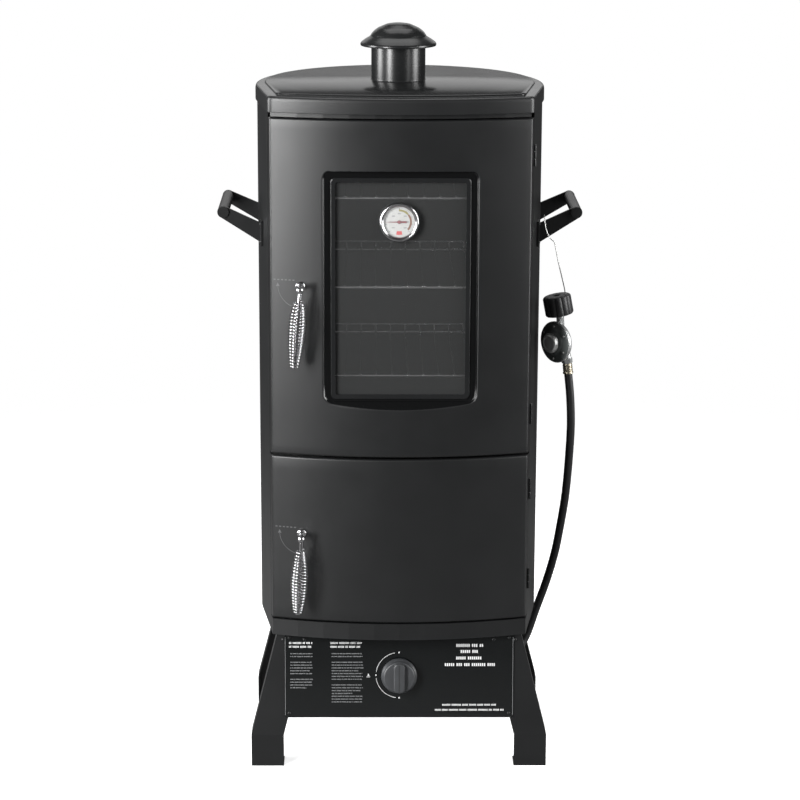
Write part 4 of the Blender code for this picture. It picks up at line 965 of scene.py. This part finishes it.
def wordRows(left, right, top, rows, pitch, high):
    # rows of small upright bars that stand for letters
    bars = []
    for row in range(rows):
        u, v = left, top - row * pitch
        stop = right - (right - left) * (dice.random() * 0.35 if row % 4 == 3 else dice.random() * 0.06)
        while u < stop - high:
            letters = 2 + int(7 * dice.random())
            for _ in range(letters):
                if u + 0.5 * high < stop:
                    bars.append(box(u, u + 0.46 * high, v - high / 2, v + high / 2))
                u += 0.68 * high
            u += 0.55 * high
    return bars


def makePanel():
    body, slot = "cabinet", "gloss_enamel"
    ink = (0.00002, 0.00022)  # how far the print's back and front are from the panel
    small, bold = [], []
    for left, right, blocks in ((-0.1840, -0.1450, (2, 5, 4)), (-0.1140, -0.0600, (2, 7, 7))):
        v = 0.0390
        for rows in blocks:
            small += wordRows(left, right, v, rows, 0.0049, 0.0016)
            v -= rows * 0.0049 + 0.0050
        bold += wordRows(left - 0.0020, right, 0.0575, 2, 0.0066, 0.0032)
    slab("panelSmallPrint", small, *ink, onPanel, "printGrey", body, slot)
    for middle, half, v, high in ((0.1206, 0.0239, 0.0532, 0.0050), (0.1206, 0.0165, 0.0427, 0.0050),
                                  (0.1206, 0.0239, 0.0314, 0.0050), (0.1206, 0.0432, 0.0200, 0.0050),
                                  (0.1206, 0.0472, -0.0497, 0.0030), (0.1211, 0.0602, -0.0584, 0.0030)):
        bold += wordRows(middle - half, middle + half, v, 1, 0.006, high)
    slab("panelBoldPrint", bold, *ink, onPanel, "printWhite", body, slot)
    up = panel["knobUp"]
    ring = [arcStrip(0, up, 0.0388, 0.0396, 100, 172), arcStrip(0, up, 0.0388, 0.0396, 188, 262)]
    ring += [disc(0.0392 * math.cos(a), up + 0.0392 * math.sin(a), 0.0013) for a in
             [math.radians(t) for t in (90, 180, 270)]]
    ring += [[(-0.0540, up - 0.0010), (-0.0500, up - 0.0010), (-0.0520, up + 0.0030)],
             box(-0.0550, -0.0490, up - 0.0034, up - 0.0024)]
    slab("panelMarks", ring, *ink, onPanel, "printWhite", body, slot)
    # grey lines along the panel's two side edges: painted highlights
    edgeHighlights = [box(s * 0.1926 - 0.0003, s * 0.1926 + 0.0003, -0.0670, 0.0670) for s in (-1, 1)]
    slab("panelEdgeLines", edgeHighlights, *ink, onPanel, "printGrey", body, slot)
    facing = onPanel(0, 0, 1) - onPanel(0, 0, 0)
    spots = [(onPanel(s * 0.186, v, 0.0002), facing) for s in (-1, 1) for v in (-0.064, 0.0665)]
    panHeads("panelScrews", spots, 0.0026, "blackEnamel", body, slot)


def makeKnob():
    outer, neck = knob["outer"], knob["neck"]
    profile = [(0, 0.0050), (outer - 0.0008, 0.0048), (outer, 0.0062), (outer - 0.0008, 0.0084),
               (neck + 0.0015, 0.0102), (neck, 0.0120), (neck, 0.0188), (neck - 0.0016, 0.0205), (0, 0.0205)]
    facing = onKnob(0, 0, 1) - onKnob(0, 0, 0)
    base = turnedMesh(rounded(profile, 0.0012, 4), onKnob(0, 0, 0), facing, 128)
    wide, long = knob["grip"]
    layers = [(0.0, 0.0190), (0.0, 0.0272), (-0.0004, 0.0283), (-0.0012, 0.0289), (-0.0022, knob["front"])]
    sections = [[onKnob(u, v, h) for u, v in roundBox(-wide - d, wide + d, -long - d, long + d, 0.0070)]
                for d, h in layers]
    addMesh("knobBody", *joined(base, loftMesh(sections)), "knobPlastic", "knob", "knob_plastic", 34.0,
            "control_knob")
    slab("knobLine", [box(-0.0006, 0.0006, -0.0235, 0.0235)], 0.0288, 0.02915, onKnob, "printBlack", "knob",
         "knob_plastic")
    slab("knobPointer", [box(-0.0009, 0.0009, 0.0265, 0.0295)], 0.0040, 0.0062, onKnob, "printWhite", "knob",
         "knob_plastic")


makePanel()
makeKnob()
print("panel and knob made")


# screws

def makeFixings():
    spots = []
    for side in (-1, 1):
        for x, z in ((0.196, 0.2200), (0.160, 0.2200)):
            spots.append((place(side * x, 0.0040 - 0.0012, z), forward))
    panHeads("legScrews", spots, 0.0034, "blackEnamel", "cabinet", "black_enamel")
    plates = []
    for side in (-1, 1):
        for y in (0.1000, 0.2630):
            away = math.asin((y - plan["backCentre"]) / plan["backRadius"])
            wall = (plan["half"] + math.tan(flare) * y) if y < 0.15 else plan["backRadius"] * math.cos(away)
            turn = -flare if y < 0.15 else away
            normal = Vector((side * math.cos(turn), math.sin(turn), 0))
            for dz in (-0.0150, 0.0150):
                plates.append((place(side * wall, y, 0.900 + dz) + normal * 0.0034, normal))
    panHeads("handleScrews", plates, 0.0030, "blackEnamel", "cabinet", "black_enamel")


makeFixings()
print("fixings made")


# regulator, handwheel and ferrule

regulator = {"centre": (0.2655, 0.1010, 0.7145), "turn": 50.0, "wheelTop": (0.2660, 0.1010, 0.7768),
             "tilt": (-0.19, 0.0, 0.98), "lobes": 12}


def makeRegulator(hoseEnd, hoseUp):
    body, centre = "cabinet", place(*regulator["centre"])
    turn = math.radians(regulator["turn"])
    face = Vector((-math.sin(turn), -math.cos(turn), 0))
    tilt = Vector(regulator["tilt"]).normalized()
    neckTop = place(*regulator["wheelTop"]) - tilt * 0.0170
    bowl = [(0, -0.0150), (0.0150, -0.0150), (0.0220, -0.0100), (0.0310, -0.0040), (0.0335, -0.0010),
            (0.0335, 0.0030), (0, 0.0030)]
    housing = turnedMesh(rounded(bowl, 0.0016, 5), centre, face, 96)
    outlet = hoseEnd + hoseUp * 0.0183
    inlet = centre - face * 0.0060 + Vector((0.006, 0.003, -0.012))
    bent = smoothLine([outlet, outlet + hoseUp * 0.014, inlet], 0.003)
    nut = turnedMesh(rounded([(0, 0), (0.0092, 0), (0.0092, 0.0085), (0, 0.0085)], 0.0006), outlet, hoseUp, 6)
    neckLow = centre + Vector((0.0060, 0.0080, 0.0200))
    pipes = joined(tubeMesh([bent], 0.0072, 24), tubeMesh([[neckLow, neckTop - tilt * 0.0012]], 0.0065, 24),
                   tubeMesh([[neckTop - tilt * 0.004, neckTop + tilt * 0.0320]], 0.0060, 24))
    addMesh("regulatorBody", *joined(housing, pipes, nut), "castZinc", body, "cast_zinc", 38.0,
            "regulator_body")
    cover = [(0, 0.0033), (0.0335, 0.0033), (0.0338, 0.0050), (0.0326, 0.0076), (0.0215, 0.0098),
             (0.0185, 0.0128), (0.0140, 0.0150), (0.0128, 0.0186), (0.0110, 0.0205), (0, 0.0205)]
    turned("regulatorCover", rounded(cover, 0.0016, 5), centre, face, "darkCover", body, "dark_cover", 96,
           False, 38.0, "regulator_cover")
    side = face.cross(Vector(upward)).normalized()
    ring = [(centre + 0.0275 * (math.cos(a) * side + math.sin(a) * Vector(upward)) + face * 0.0086, face)
            for a in [math.radians(30 + 60 * k) for k in range(6)]]
    panHeads("regulatorScrews", ring, 0.0022, "brightZinc", body, "cast_zinc")
    boss = [(0, 0.0128), (0.0168, 0.0128), (0.0172, 0.0150), (0.0156, 0.0200), (0.0136, 0.0216),
            (0.0112, 0.0216), (0.0104, 0.0206), (0, 0.0206)]
    turned("regulatorBoss", rounded(boss, 0.0010), centre, face, "bossZinc", body, "cast_zinc", 64)
    turned("regulatorRim", rounded([(0.0330, 0.0006), (0.0350, 0.0010), (0.0352, 0.0052), (0.0330, 0.0060)],
                                   0.0008), centre, face, "castZinc", body, "cast_zinc", 96, True)
    makeWheel(neckTop, tilt)


def makeWheel(neckTop, tilt):
    turnTo = Vector(upward).rotation_difference(tilt).to_matrix()
    steps = regulator["lobes"] * 12
    layers = [(0.0068, 0.0012, 0), (0.0205, 0.0010, 0.3), (0.0228, 0.0018, 0.7), (0.0238, 0.0040, 1),
              (0.0238, 0.0310, 1), (0.0228, 0.0332, 0.7), (0.0205, 0.0344, 0.3), (0.0130, 0.0346, 0),
              (0.0068, 0.0346, 0)]
    points = []
    for r, h, ribbed in layers:
        for k in range(steps):
            a = math.tau * k / steps
            wave = 0.5 + 0.5 * math.cos(a * regulator["lobes"])
            wide = r - 0.0016 * ribbed * (1 - wave ** 0.35)
            points.append(neckTop + turnTo @ Vector((wide * math.cos(a), wide * math.sin(a), h)))
    addMesh("handwheelGrip", points, ringFaces(len(layers), steps, True), "blackPlastic", "handwheel",
            "black_plastic", 30.0, "tank_handwheel")


def makeFerrule(hoseEnd, hoseUp):
    rings = [(0, 0.0003), (0.0086, 0.0003), (0.0088, 0.0022), (0.0079, 0.0034)]
    for k in range(4):
        h = 0.0048 + 0.0028 * k
        rings += [(0.0079, h), (0.0085, h + 0.0008), (0.0079, h + 0.0016)]
    rings += [(0.0078, 0.0164), (0.0070, 0.0180), (0, 0.0180)]
    turned("hoseFerrule", rings, hoseEnd, hoseUp, "ferruleMetal", "cabinet", "brass", 48, False, 50.0,
           "hose_ferrule")


# hose

hose = {
    "radius": 0.0070,
    "route": [
        (0.0473, 0.0160, 0.1572), (0.0630, 0.0170, 0.1567), (0.0870, 0.0280, 0.1450),
        (0.1180, 0.0600, 0.1290), (0.1480, 0.1000, 0.1190), (0.1800, 0.1450, 0.1190),
        (0.2060, 0.1800, 0.1320), (0.2270, 0.1980, 0.1590), (0.2440, 0.2020, 0.2080),
        (0.2605, 0.1960, 0.2600), (0.2730, 0.1760, 0.3180), (0.2805, 0.1540, 0.3760),
        (0.2865, 0.1310, 0.4380), (0.2900, 0.1160, 0.5040), (0.2915, 0.1050, 0.5680),
        (0.2890, 0.1000, 0.6200), (0.2848, 0.1000, 0.6600),
    ],
}


def makeHose():
    line = smoothLine([place(*p) for p in hose["route"]], 0.010)
    curve = bpy.data.curves.new("hoseLine", "CURVE")
    curve.dimensions, curve.bevel_depth, curve.bevel_resolution = "3D", hose["radius"], 6
    curve.use_fill_caps = True
    spline = curve.splines.new("POLY")
    spline.points.add(len(line) - 1)
    for point, spot in zip(spline.points, line):
        point.co = (*spot, 1.0)
    spline.use_smooth = True
    curve.materials.append(finishes["blackRubber"])
    piece = bpy.data.objects.new("hoseLine", curve)
    bpy.context.collection.objects.link(piece)
    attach(piece, "cabinet")
    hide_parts("gas_hose")
    long = sum((b - a).length for a, b in zip(line, line[1:]))
    print(f"hose {long:.3f} m")
    up = (line[-1] - place(*hose["route"][-2])).normalized()
    makeFerrule(line[-1], up)
    makeRegulator(line[-1], up)
    onIt = [bpy.data.objects[n] for n in ("hoseFerrule", "regulatorBody", "regulatorCover", "regulatorScrews",
                                          "regulatorBoss", "regulatorRim", "handwheelGrip", "regulator_wire")]
    tuple(line[0])
    2 * hose["radius"]


makeHose()
print("hose made")
